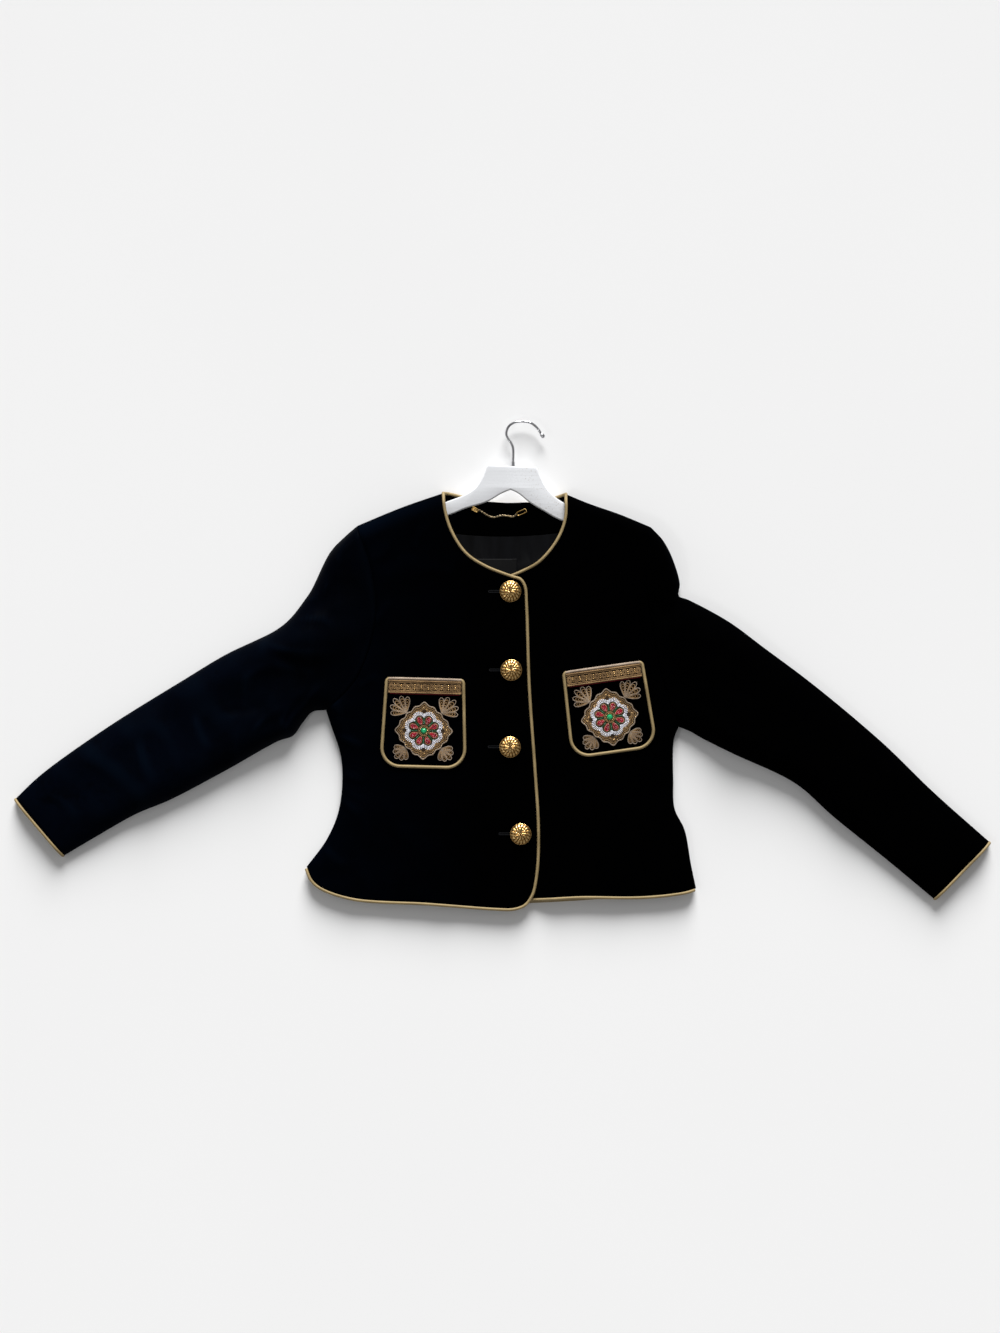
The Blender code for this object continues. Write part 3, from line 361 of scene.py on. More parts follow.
class Drape:
    """How high the two layers of cloth lie at each place."""

    rolled: tuple[Line, ...] = tuple(
        line for s in SEAMS.values() for line in (s.side, s.shoulder, s.sleeve_top, s.sleeve_low)
    )
    sewn: tuple[Line, ...] = tuple(s.armhole for s in SEAMS.values())

    @staticmethod
    def roll(distance: Array, width: Values) -> Array:
        """A quarter round that rises from 0 at a rolled edge to 1 this width in from it."""
        inward = 1.0 - np.clip(distance / width, 0.0, 1.0)
        return np.sqrt(1.0 - inward * inward)

    @staticmethod
    def folds(points: Array) -> Array:
        """What the large folds add to the top layer.

        Args:
            points: places in the plane.

        Returns:
            The rise at each place.
        """
        total = np.zeros(points.shape[:-1])
        for x1, y1, x2, y2, width, height in FOLDS:
            start, step = np.array([x1, y1]), np.array([x2 - x1, y2 - y1])
            rel = points - start
            t = (rel @ step) / (step @ step)
            off = np.linalg.norm(rel - np.clip(t, 0.0, 1.0)[..., None] * step, axis=-1)
            total += height * np.exp(-0.5 * (off / width) ** 2)
        return total

    @staticmethod
    def creases(points: Array, table: Table) -> Array:
        """Fine creases, each bowed and fading towards its ends.

        Args:
            points: places in the plane.
            table: rows of x1, y1, x2, y2, bow, width and height.

        Returns:
            What the creases add at each place.
        """
        total = np.zeros(points.shape[:-1])
        for x1, y1, x2, y2, bow, width, height in table:
            start, step = np.array([x1, y1]), np.array([x2 - x1, y2 - y1])
            length = float(np.hypot(*step))
            along = step / length
            rel = points - start
            t = (rel @ along) / length
            off = rel @ np.array([-along[1], along[0]]) - bow * 4.0 * t * (1.0 - t)
            fade = ease((t + 0.12) / 0.34) * ease((1.12 - t) / 0.5)
            total += height * fade * np.exp(-0.5 * (off / (width * (0.7 + 0.6 * np.clip(t, 0.0, 1.0)))) ** 2)
        return total

    @staticmethod
    def uneven(points: Array) -> Array:
        """The soft unevenness of cloth that has been worn and laid by hand.

        Args:
            points: places in the plane.

        Returns:
            The rise at each place.
        """
        x, y = points[..., 0], points[..., 1]
        total = np.zeros(x.shape)
        for k, (wave, high) in enumerate(UNEVEN):
            u, v = rotated(x, y, -0.7 - 1.9 * k)
            total += high * np.sin(u / wave * 2.7 + 1.3 * np.sin(v / wave + k)) * np.sin(v / wave * 2.1 + k)
        return total

    @classmethod
    def top(cls, points: Array, along_sleeve: Values = 0.0) -> Array:
        """Height of the top layer's outer face.

        Args:
            points: places in the plane.
            along_sleeve: each place's share of the sleeve's length, or 0 on the body.

        Returns:
            The height at each place.
        """
        y = points[..., 1]
        reach = np.abs(points[..., 0])
        shoulder = ease((reach - 90.0) / 80.0) * ease((y - 20.0) / 100.0)
        crown = from_table(BODY_CROWN, y) + SHOULDER_LIFT * shoulder
        width = from_table(BODY_ROUND, y)
        on_sleeve = ease(np.asarray(along_sleeve) / 0.22)
        crown = crown + (from_table(SLEEVE_CROWN, along_sleeve) - crown) * on_sleeve
        width = width + (from_table(SLEEVE_ROUND, along_sleeve) - width) * on_sleeve
        rise = cls.roll(nearest(points, cls.rolled), width)
        start = SEAM_Z + SEAM_PART
        fine = cls.creases(points, CREASES) + cls.uneven(points)
        sink = SEAM_SINK * np.exp(-((nearest(points, cls.sewn) / SEAM_WIDE) ** 2))
        return start + (crown - start + cls.folds(points) + fine - sink) * rise

    @classmethod
    def under(cls, points: Array) -> Array:
        """Height of the bottom layer's outer face, flat but for its rolled edges and shallow creases."""
        away = cls.roll(nearest(points, cls.rolled), UNDER_ROUND)
        return (SEAM_Z - SEAM_PART) * (1.0 - away) + np.clip(cls.creases(points, UNDER_CREASES), 0.0, 2.4)


def stations(total: float, count: int, near_start: bool, near_end: bool) -> Array:
    """Distances along a line, close together at a rolled end and even between.

    Args:
        total: the line's length.
        count: how many lie between those near the ends.
        near_start: whether the start is rolled.
        near_end: whether the end is.

    Returns:
        The distances.
    """
    first = list(NEAR_SEAM) if near_start else [0.0]
    last = [total - d for d in reversed(NEAR_SEAM)] if near_end else [total]
    return np.array(first + list(np.linspace(first[-1], last[0], count + 2)[1:-1]) + last)


def patch(
    low: Line,
    high: Line,
    left: Line,
    right: Line,
    rows: tuple[Array, Array],
    count: int,
    near: tuple[bool, bool] = (False, False),
) -> Array:
    """The plan points of a four-sided panel, as rows from its low edge to its high edge.

    Args:
        low: the low edge, from left to right.
        high: the high edge, from left to right.
        left: the left edge, from low to high.
        right: the right edge, from low to high.
        rows: distances along left and along right that get a row.
        count: how many columns lie between those near the edges.
        near: whether the left and the right edge are rolled, and get close columns.

    Returns:
        An array of rows, columns and (x, y).
    """
    grid = []
    corners = (low.share(0.0), low.share(1.0), high.share(0.0), high.share(1.0))
    for c, d in zip(rows[0] / left.total, rows[1] / right.total):
        v = (c + d) / 2
        total = low.total * (1 - v) + high.total * v
        u = (stations(total, count, *near) / total)[:, None]
        edge = (1 - u) * left.share(c) + u * right.share(d)
        cross = (1 - v) * low.share(u[:, 0]) + v * high.share(u[:, 0])
        twice = (1 - v) * ((1 - u) * corners[0] + u * corners[1]) + v * ((1 - u) * corners[2] + u * corners[3])
        grid.append(edge + cross - twice)
    return untangle(np.array(grid))


def between_lines(low: Line, high: Line, rows: int, columns: int) -> Array:
    """The plan points of a panel between two lines, with straight sides.

    Args:
        low: the low edge, from left to right.
        high: the high edge.
        rows: how many rows it gets.
        columns: how many columns lie inside it.

    Returns:
        An array of rows, columns and (x, y).
    """
    left, right = (Line(np.array([low.share(end), high.share(end)])) for end in (0.0, 1.0))
    shares = np.linspace(0.0, 1.0, rows)
    return patch(low, high, left, right, (shares * left.total, shares * right.total), columns)


def untangle(plan: Array, rounds: int = 200) -> Array:
    """Draws apart the cells of a plan that fold over each other, where its edge bends sharply.

    Args:
        plan: rows of (x, y).
        rounds: how often it is done at most.

    Returns:
        The new plan.
    """
    plan = plan.copy()
    for _ in range(rounds):
        across, up = np.diff(plan, axis=1)[:-1], np.diff(plan, axis=0)[:, :-1]
        size = across[..., 0] * up[..., 1] - across[..., 1] * up[..., 0]
        size *= np.sign(np.median(size))
        bad = size < 0.04
        if not bad.any():
            break
        near = np.zeros(plan.shape[:2], bool)
        for i, j in np.argwhere(bad):
            near[max(i - 3, 0) : i + 5, max(j - 3, 0) : j + 5] = True
        near[[0, -1]] = near[:, [0, -1]] = False
        mean = (np.roll(plan, 1, 0) + np.roll(plan, -1, 0) + np.roll(plan, 1, 1) + np.roll(plan, -1, 1)) / 4
        plan[near] += 0.6 * (mean[near] - plan[near])
    return plan


def relaxed(plan: Array, rounds: int = 800) -> Array:
    """Evens out a plan's inner points by Winslow's equations, which keep cells from folding at a bent edge.

    Args:
        plan: rows of (x, y).
        rounds: how often it is done.

    Returns:
        The new plan.
    """
    plan = plan.copy()
    for _ in range(rounds):
        across = (plan[1:-1, 2:] - plan[1:-1, :-2]) / 2
        up = (plan[2:, 1:-1] - plan[:-2, 1:-1]) / 2
        a, c = (up**2).sum(axis=-1)[..., None], (across**2).sum(axis=-1)[..., None]
        b = (across * up).sum(axis=-1)[..., None]
        twist = (plan[2:, 2:] - plan[2:, :-2] - plan[:-2, 2:] + plan[:-2, :-2]) / 4
        fit = a * (plan[1:-1, 2:] + plan[1:-1, :-2]) + c * (plan[2:, 1:-1] + plan[:-2, 1:-1]) - 2 * b * twist
        plan[1:-1, 1:-1] += 0.9 * (fit / (2 * (a + c)) - plan[1:-1, 1:-1])
    return plan


def beside(points: Array, distance: float, closed: bool = False) -> Array:
    """A run of plan points moved to its right side, with mitred corners.

    Args:
        points: rows of (x, y).
        distance: how far.
        closed: whether the last point meets the first.

    Returns:
        The moved points.
    """
    step = np.diff(np.vstack([points, points[:1]]) if closed else points, axis=0)
    step /= np.linalg.norm(step, axis=1)[:, None]
    before = np.roll(step, 1, axis=0) if closed else np.vstack([step[:1], step])
    after = step if closed else np.vstack([step, step[-1:]])
    mean = before + after
    mean /= np.linalg.norm(mean, axis=1)[:, None]
    cosine = np.maximum((mean * after).sum(axis=1), 0.5)
    return points + distance * np.stack([mean[:, 1], -mean[:, 0]], axis=1) / cosine[:, None]


def add_object(name: str, data: bpy.types.ID) -> Piece:
    """A new object of the scene, made of this data."""
    obj = bpy.data.objects.new(name, data)
    bpy.context.scene.collection.objects.link(obj)
    return obj


def put(bm: BMesh, name: str, finish: Finish, replaces: Sequence[str] = ()) -> Piece:
    """Turns a bmesh into a finished piece that rides on the jacket's body.

    Args:
        bm: the shape, which is freed.
        name: the piece's name, which gets a word before it where it stands for a node.
        finish: its finish.
        replaces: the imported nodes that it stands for.

    Returns:
        The new object.
    """
    name = f"dressed_{name}" if replaces else name
    mesh = bpy.data.meshes.new(name)
    bm.to_mesh(mesh)
    bm.free()
    mesh.materials.append(finish.material())
    mesh.shade_smooth()
    mesh.set_sharp_from_angle(angle=math.radians(finish.sharp))
    obj = add_object(name, mesh)
    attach(obj, BODY)
    if replaces:
        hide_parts(*replaces)
    LOG.info("%s: %d faces", name, len(mesh.polygons))
    return obj


def ridges(heights: Array, span: int = 4, full: float = 1.3) -> Array:
    """How far each row of a cloth stands above the mean of the rows about it.

    Args:
        heights: rows of heights.
        span: how many rows the mean takes in on each side.
        full: the rise that counts as 1.

    Returns:
        A share from 0 to 1 for each height.
    """
    padded = np.pad(heights, ((span, span), (0, 0)), mode="edge")
    mean = sum(padded[i : i + len(heights)] for i in range(2 * span + 1)) / (2 * span + 1)
    return np.clip((heights - mean) / full, 0.0, 1.0)


def cloth(
    name: str,
    plan: Array,
    heights: Array,
    thickness: float,
    finish: Finish,
    rests_on: str = "",
    faces_up: bool = True,
    grain: float = 0.0,
) -> Piece:
    """A laid panel of cloth from its plan points and the heights of its outer face, thickened inwards.

    Args:
        name: the piece's name, which is also the node that it replaces.
        plan: rows of (x, y).
        heights: the outer face's height at each.
        thickness: the cloth's.
        finish: its finish.
        rests_on: the node or floor that it lies on; where it is given, the cut's size and area are worked out and not
            used.
        faces_up: whether the outer face looks up.
        grain: how far the cloth's own grain is turned, in radians.

    Returns:
        The new object.
    """
    rows, columns = heights.shape
    bm = bmesh.new()
    bmesh.ops.create_grid(bm, x_segments=columns - 1, y_segments=rows - 1, size=0.5)
    flat = bm.loops.layers.uv.verify()
    # the ridge share also drives the velvet's painted highlight on the crests of folds
    ridge, rise = bm.verts.layers.float.new("ridge"), ridges(heights)
    for vert in bm.verts:
        j = round((vert.co.x + 0.5) * (columns - 1))
        i = round((vert.co.y + 0.5) * (rows - 1))
        vert[ridge] = rise[i, j]
        vert.co = place(plan[i, j, 0], plan[i, j, 1], heights[i, j])
        for loop in vert.link_loops:
            loop[flat].uv = rotated(vert.co.x, vert.co.y, -grain)
    bm.normal_update()
    if (sum(face.normal.z * face.calc_area() for face in bm.faces) > 0) != faces_up:
        bmesh.ops.reverse_faces(bm, faces=bm.faces)
    obj = put(bm, name, finish, [name])
    wall = obj.modifiers.new("wall", "SOLIDIFY")
    wall.thickness = thickness * MM
    wall.offset = -1.0
    if rests_on:
        size, area = flat_size(plan, heights, grain)
    return obj


def flat_size(plan: Array, high: Array, turn: float = 0.0) -> tuple[tuple[float, float], float]:
    """The cut that lies in this shape.

    Args:
        plan: rows of (x, y).
        high: the outer face's heights.
        turn: how far the cut's length is turned from X.

    Returns:
        The cut's length and width along its own axes, and its area, in metres.
    """
    form = np.dstack([plan, high])
    across, up = np.diff(form, axis=1), np.diff(form, axis=0)
    halves = np.cross(across[:-1], up[:, :-1]), np.cross(across[1:], up[:, 1:])
    area = sum(float(np.linalg.norm(half, axis=-1).sum()) for half in halves) / 2
    flat = sum(float(np.abs(half[..., 2]).sum()) for half in halves) / 2
    x, y = rotated(plan[..., 0], plan[..., 1], -turn)
    return (float(np.ptp(x)) * MM, float(np.ptp(y)) * area / flat * MM), area * MM * MM


Section = Callable[[Array, Array], Array]


def round_section(radius: float) -> Section:
    """A plain round section of this radius."""
    return lambda along, angles: radius + 0.0 * along * angles


def plied(radius: float, plies: int, pitch: float, depth: float) -> Section:
    """The section of a rope of plies laid round each other, with a groove between each two.

    Args:
        radius: the rope's.
        plies: how many.
        pitch: the length of one turn.
        depth: the groove's, as a share of the radius.

    Returns:
        The section.
    """

    def section(along: Array, angles: Array) -> Array:
        """The radius at each distance and angle."""
        phase = (plies * angles - math.tau * plies * along / pitch) / 2
        return radius * (1.0 - depth * (1.0 - np.abs(np.sin(phase))) ** 2)

    return section


def tube(
    bm: BMesh, points: Array, section: Section, sides: int = 8, closed: bool = False, flat: float = 1.0
) -> None:
    """Adds a rope, wire or cord that follows points, with its own UVs in metres.

    Args:
        bm: the mesh that it is added to.
        points: rows of (x, y, z), of the tables.
        section: gives the radius at a distance along, for each angle round.
        sides: how many sides the section has.
        closed: whether the last point meets the first.
        flat: how high the section is against its width.
    """
    path = np.asarray(points, float)
    if closed:
        path = np.vstack([path, path[:1]])
    run = np.gradient(path, axis=0)
    if closed:
        run[0] = run[-1] = path[1] - path[-2]
    run /= np.linalg.norm(run, axis=1)[:, None]
    ups = [np.array([0.0, 0.0, 1.0]) if abs(run[0, 2]) < 0.9 else np.array([0.0, 1.0, 0.0])]
    for tangent in run:
        up = ups[-1] - tangent * (ups[-1] @ tangent)
        ups.append(up / np.linalg.norm(up))
    ups = np.array(ups[1:])
    asides = np.cross(run, ups)
    miss = math.atan2(ups[-1] @ asides[0], ups[-1] @ ups[0]) if closed else 0.0
    along = np.concatenate([[0.0], np.cumsum(np.linalg.norm(np.diff(path, axis=0), axis=1))])
    angles = np.linspace(0.0, math.tau, sides + 1)[None, :]
    turned = angles + miss * along[:, None] / along[-1]
    radius = section(along[:, None], angles)
    level = (radius * np.sin(turned) * flat)[..., None] * ups[:, None, :]
    found = path[:, None, :] + (radius * np.cos(turned))[..., None] * asides[:, None, :] + level
    girth = float(radius[0, 0]) * MM
    made = bmesh.ops.create_grid(bm, x_segments=sides, y_segments=len(path) - 1, size=0.5)["verts"]
    layer = bm.loops.layers.uv.verify()
    for vert in made:
        j = round((vert.co.x + 0.5) * sides)
        i = round((vert.co.y + 0.5) * (len(path) - 1))
        for loop in vert.link_loops:
            loop[layer].uv = (along[i] * MM, angles[0, j] * girth)
        vert.co = place(*found[i][j])
    bmesh.ops.remove_doubles(bm, verts=made, dist=1e-6)
    made = [vert for vert in made if vert.is_valid]
    if not closed:
        rim = {edge for vert in made for edge in vert.link_edges if edge.is_boundary}
        bmesh.ops.holes_fill(bm, edges=list(rim), sides=sides)
    faces = list({face for vert in made for face in vert.link_faces})
    bmesh.ops.recalc_face_normals(bm, faces=faces)


class Ground:
    """The upper face of a finished piece, for what lies on it."""

    def __init__(self, obj: Piece) -> None:
        """Reads the piece as its modifiers leave it."""
        self.tree = BVHTree.FromObject(obj, bpy.context.evaluated_depsgraph_get())

    def height(self, x: float, y: float) -> float:
        """Height of the face at a place, read beside it where the ray meets an edge.

        Args:
            x: the place.
            y: the place.

        Returns:
            The height.
        """
        for nudge in EDGE_NUDGES:
            hit = self.tree.ray_cast(place(x + nudge, y + nudge / 2, RAY_START), Vector((0.0, 0.0, -1.0)))[0]
            if hit:
                return hit.z / MM
        raise ValueError(f"nothing lies below {x:.1f}, {y:.1f}")

    def heights(self, plan: Array) -> Array:
        """Heights at a grid of places."""
        flat = [self.height(x, y) for x, y in plan.reshape(-1, 2)]
        return np.array(flat).reshape(plan.shape[:-1])


Colour = tuple[float, float, float]


class Graph:
    """The node tree of one Principled material, built in short calls."""

    def __init__(self, name: str) -> None:
        """Starts a material with its shader and the places to read a pattern at.

        Args:
            name: the material's name.
        """
        self.material = bpy.data.materials.new(name)
        self.material.use_nodes = True
        self.tree = self.material.node_tree
        self.shader = self.tree.nodes["Principled BSDF"]
        self.places = self.tree.nodes.new("ShaderNodeTexCoord")

    def add(self, kind: str, settings: dict[str, object] | None = None, **inputs: object) -> bpy.types.Node:
        """Adds a node.

        Args:
            kind: the node's type, without its ShaderNode prefix.
            settings: properties of the node.
            inputs: a socket to join, or a value to set, for each input by name, with _ for a space.

        Returns:
            The node.
        """
        node = self.tree.nodes.new("ShaderNode" + kind)
        for key, value in (settings or {}).items():
            setattr(node, key, value)
        for key, value in inputs.items():
            self.give(node.inputs[key.replace("_", " ")], value)
        return node

    def give(self, socket: Socket, value: object) -> None:
        """Joins a socket to an input, or sets the input's value."""
        if isinstance(value, Socket):
            self.tree.links.new(value, socket)
        else:
            socket.default_value = value

    def shade(self, **inputs: object) -> None:
        """Sets or joins inputs of the shader."""
        for key, value in inputs.items():
            self.give(self.shader.inputs[key.replace("_", " ")], value)

    def scaled(self, source: str, scale: Row = (1.0, 1.0, 1.0), turn: float = 0.0) -> Socket:
        """Coordinates of a kind, scaled by three numbers and turned about Z."""
        node = self.add("Mapping", Vector=self.places.outputs[source], Scale=scale, Rotation=(0.0, 0.0, turn))
        return node.outputs["Vector"]

    def noise(self, where: Socket, scale: float, detail: float = 3.0) -> Socket:
        """A noise pattern."""
        return self.add("TexNoise", Vector=where, Scale=scale, Detail=detail).outputs["Fac"]

    def wave(self, where: Socket, axis: str, scale: float, warp: float) -> Socket:
        """Even ribs across an axis."""
        settings = {"wave_type": "BANDS", "bands_direction": axis}
        node = self.add("TexWave", settings, Vector=where, Scale=scale, Distortion=warp)
        return node.outputs["Fac"]

    def sum(self, kind: str, first: object, second: object) -> Socket:
        """Two numbers put together by a sum of this kind."""
        node = self.add("Math", {"operation": kind})
        self.give(node.inputs[0], first)
        self.give(node.inputs[1], second)
        return node.outputs[0]

    def between(self, share: Socket, stops: Sequence[tuple[float, Colour]]) -> Socket:
        """A colour between those of the stops, which are (share, colour).

        Args:
            share: picks the colour.
            stops: the colours and the shares that they lie at.

        Returns:
            The colour.
        """
        node = self.add("ValToRGB", Fac=share)
        ramp = node.color_ramp
        for spare in list(ramp.elements)[1:]:
            ramp.elements.remove(spare)
        ramp.elements[0].position, ramp.elements[0].color = stops[0][0], (*stops[0][1], 1.0)
        for at, colour in stops[1:]:
            ramp.elements.new(at).color = (*colour, 1.0)
        return node.outputs["Color"]

    def ranged(self, share: Socket, low: float, high: float) -> Socket:
        """A share from 0 to 1 as a number between two others."""
        return self.add("MapRange", Value=share, To_Min=low, To_Max=high).outputs["Result"]

    def across(self, start: float, end: float, low: float, high: float) -> Socket:
        """A number that runs from low to high between two places along X."""
        places = self.add("SeparateXYZ", Vector=self.places.outputs["Object"])
        node = self.add("MapRange", Value=places.outputs["X"], From_Min=start, From_Max=end, To_Min=low, To_Max=high)
        return node.outputs["Result"]

    def relief(self, parts: Sequence[tuple[Socket, float, float]]) -> None:
        """Bumps in turn, each a height pattern, how strong it is and how high in metres.

        Args:
            parts: the bumps.
        """
        normal = None
        for height, strength, distance in parts:
            node = self.add("Bump", Height=height, Strength=strength, Distance=distance)
            if normal:
                self.give(node.inputs["Normal"], normal)
            normal = node.outputs["Normal"]
        self.shade(Normal=normal)


@dataclass(frozen=True)
class Finish:
    """What a surface looks like, made into one material for each name."""

    name: str
    colour: Colour
    sharp: float = 40.0  # edges with a bend over this angle stay sharp, in degrees

    def material(self) -> bpy.types.Material:
        """The finish's material, made once.

        Returns:
            The material.
        """
        found = bpy.data.materials.get(self.name)
        if not found:
            graph = Graph(self.name)
            self.draw(graph)
            found = graph.material
            found.diffuse_color = (*self.colour, 1.0)
        return found

    def draw(self, graph: Graph) -> None:
        """Adds the finish's own nodes."""
        raise NotImplementedError


@dataclass(frozen=True)
class VelvetFinish(Finish):
    """Cut pile that is near black, with a soft sheen where it slants, brush marks, a painted navy sheen and painted
    fold highlights.
    """

    brushed_and_sheen: Colour = (0.0004, 0.0011, 0.0032)
    sheen: float = 0.012
    gloss: float = 0.003
    rough: tuple[float, float] = (0.78, 0.95)
    tint: Colour = (0.16, 0.24, 0.46)
    # painted highlight: the colour laid on the crests of folds
    painted_fold_highlight: Colour = (0.0009, 0.0027, 0.0062)
    painted_sheen_from: tuple[float, float] = (-0.42, 0.0)  # where the painted navy sheen and the painted fold highlights are full, and where they end, along X

    def draw(self, graph: Graph) -> None:
        """Adds brush marks with a painted navy sheen and painted fold highlights that fade across the jacket, a fine
        pile and the sheen.

        Args:
            graph: the material's nodes.
        """
        wide = graph.noise(graph.scaled("Object", (1.0, 1.6, 1.0), 0.5), 13.0, 4.0)
        close = graph.noise(graph.scaled("Object"), 120.0, 2.0)
        marks = graph.sum("MULTIPLY_ADD", close, 0.25)
        graph.give(marks.node.inputs[2], wide)
        # painted light: full at the wearer's right side and gone by the middle, it tints the brush marks navy and
        # scales the fold highlights
        fade = graph.across(*self.painted_sheen_from, 1.0, 0.0)
        share = graph.sum("MULTIPLY", marks, fade)
        base = graph.between(share, ((0.04, self.colour), (0.66, self.brushed_and_sheen), (0.95, self.colour)))
        # painted highlight: the cloth's ridge share lightens the colour on the crests of folds
        ridge = graph.add("Attribute", {"attribute_name": "ridge"})
        painted_fold_highlight = graph.add("Mix", {"data_type": "RGBA"})
        lit = graph.sum("MULTIPLY", ridge.outputs["Fac"], fade)
        for socket, value in zip((0, 6, 7), (lit, base, (*self.painted_fold_highlight, 1.0))):  # the factor and the two colours
            graph.give(painted_fold_highlight.inputs[socket], value)
        pile = graph.noise(graph.scaled("UV", (1.0, 0.45, 1.0)), 1500.0, 2.0)
        graph.relief(((wide, 0.12, 0.004), (pile, 0.3, 0.0004)))
        graph.shade(
            Base_Color=painted_fold_highlight.outputs[2],
            Roughness=graph.ranged(pile, *self.rough),
            Specular_IOR_Level=self.gloss,
            Sheen_Weight=self.sheen,
            Sheen_Roughness=0.38,
            Sheen_Tint=(*self.tint, 1.0),
        )


@dataclass(frozen=True)
class SatinFinish(Finish):
    """Smooth lining with fine warp threads and soft streaks of light."""

    lit: Colour = (0.003, 0.0033, 0.0043)

    def draw(self, graph: Graph) -> None:
        """Adds threads and streaks.

        Args:
            graph: the material's nodes.
        """
        streaks = graph.noise(graph.scaled("UV", (60.0, 7.0, 1.0)), 1.0, 4.0)
        threads = graph.wave(graph.scaled("UV"), "X", 900.0, 1.0)
        graph.relief(((streaks, 0.2, 0.002), (threads, 0.12, 0.0001)))
        graph.shade(
            Base_Color=graph.between(streaks, ((0.35, self.colour), (0.7, self.lit))),
            Roughness=graph.ranged(streaks, 0.3, 0.46),
            Specular_IOR_Level=0.14,
            Anisotropic=0.5,
        )


@dataclass(frozen=True)
class WovenFinish(Finish):
    """A tightly woven tape, with its ribs across."""

    lit: Colour = (0.02, 0.02, 0.022)
    pitch: float = 0.0005

    def draw(self, graph: Graph) -> None:
        """Adds crossed threads.

        Args:
            graph: the material's nodes.
        """
        place_uv = graph.scaled("UV")
        warp = graph.wave(place_uv, "X", 1.0 / (self.pitch * 20.0) * math.tau / 2, 0.4)
        weft = graph.wave(place_uv, "Y", 1.0 / (self.pitch * 20.0) * math.tau / 3, 0.4)
        both = graph.sum("MULTIPLY", warp, weft)
        graph.relief(((both, 0.5, 0.0002),))
        graph.shade(
            Base_Color=graph.between(both, ((0.1, self.colour), (0.9, self.lit))),
            Roughness=graph.ranged(both, 0.75, 0.55),
            Specular_IOR_Level=0.15,
        )


@dataclass(frozen=True)
class BraidFinish(Finish):
    """Metallic thread laid round a core: slanting threads, duller in the grooves and where it is rubbed."""

    deep: Colour = (0.17, 0.12, 0.045)
    bright: Colour = (0.42, 0.32, 0.15)
    pitch: float = 0.0009
    metal: float = 0.2
    slant: float = 0.15

    def draw(self, graph: Graph) -> None:
        """Adds the slanting threads and the wear.

        Args:
            graph: the material's nodes.
        """
        slanted = graph.scaled("UV", turn=self.slant)
        threads = graph.wave(slanted, "X", math.tau / (20.0 * self.pitch), 0.6)
        worn = graph.noise(graph.scaled("Object"), 55.0, 4.0)
        glint = graph.noise(graph.scaled("UV"), 1300.0, 1.0)
        tone = graph.sum("ADD", graph.sum("MULTIPLY", threads, 0.55), graph.sum("MULTIPLY", worn, 0.5))
        stops = ((0.22, self.deep), (0.52, self.colour), (0.86, self.bright))
        graph.relief(((threads, 0.32, 0.0003), (glint, 0.3, 0.0002)))
        graph.shade(
            Base_Color=graph.between(tone, stops),
            Metallic=self.metal,
            Roughness=graph.ranged(worn, 0.45, 0.65),
        )


@dataclass(frozen=True)
class MetalFinish(Finish):
    """Bright metal, duller and darker where it has been handled."""

    dull: Colour = (0.42, 0.24, 0.06)
    rough: tuple[float, float] = (0.14, 0.3)
    scale: float = 160.0

    def draw(self, graph: Graph) -> None:
        """Adds tarnish and fine scratches.

        Args:
            graph: the material's nodes.
        """
        marks = graph.noise(graph.scaled("Object"), self.scale, 5.0)
        scratches = graph.noise(graph.scaled("Object", (1.0, 9.0, 1.0), 0.6), 420.0, 2.0)
        graph.relief(((scratches, 0.12, 0.0001),))
        graph.shade(
            Base_Color=graph.between(marks, ((0.36, self.dull), (0.56, self.colour))),
            Metallic=1.0,
            Roughness=graph.ranged(marks, self.rough[1], self.rough[0]),
        )


@dataclass(frozen=True)
class ReliefFinish(MetalFinish):
    """Bright metal whose grooves have darkened; its UV map's second number is the depth of the cut."""

    groove: Colour = (0.045, 0.02, 0.005)

    def draw(self, graph: Graph) -> None:
        """Adds the dark grooves and fine scratches.

        Args:
            graph: the material's nodes.
        """
        depth = graph.add("SeparateXYZ", Vector=graph.places.outputs["UV"]).outputs["Y"]
        marks = graph.noise(graph.scaled("Object"), self.scale, 4.0)
        tone = graph.sum("ADD", depth, graph.sum("MULTIPLY", marks, 0.25))
        graph.relief(((marks, 0.1, 0.0002),))
        graph.shade(
            Base_Color=graph.between(tone, ((0.22, self.colour), (0.5, self.dull), (0.8, self.groove))),
            Metallic=1.0,
            Roughness=graph.ranged(depth, *self.rough),
        )


@dataclass(frozen=True)
class PaintFinish(Finish):
    """White paint over wood, its grain telegraphing through, with a few grey specks."""

    speck: Colour = (0.46, 0.43, 0.39)

    def draw(self, graph: Graph) -> None:
        """Adds grain, specks and brush marks.

        Args:
            graph: the material's nodes.
        """
        grain = graph.noise(graph.scaled("Object", (14.0, 240.0, 240.0), -0.05), 1.0, 4.0)
        specks = graph.noise(graph.scaled("Object"), 520.0, 3.0)
        amount = graph.sum("MULTIPLY", specks, graph.across(0.0, 0.03, 0.38, 0.66))
        shade = tuple(channel * 0.93 for channel in self.colour)
        tone = graph.between(amount, ((0.20, shade), (0.30, self.colour), (0.405, self.colour), (0.45, self.speck)))
        graph.relief(((grain, 0.35, 0.0005), (specks, 0.1, 0.0002)))
        graph.shade(
            Base_Color=tone,
            Roughness=graph.ranged(grain, 0.42, 0.6),
            Specular_IOR_Level=0.4,
        )


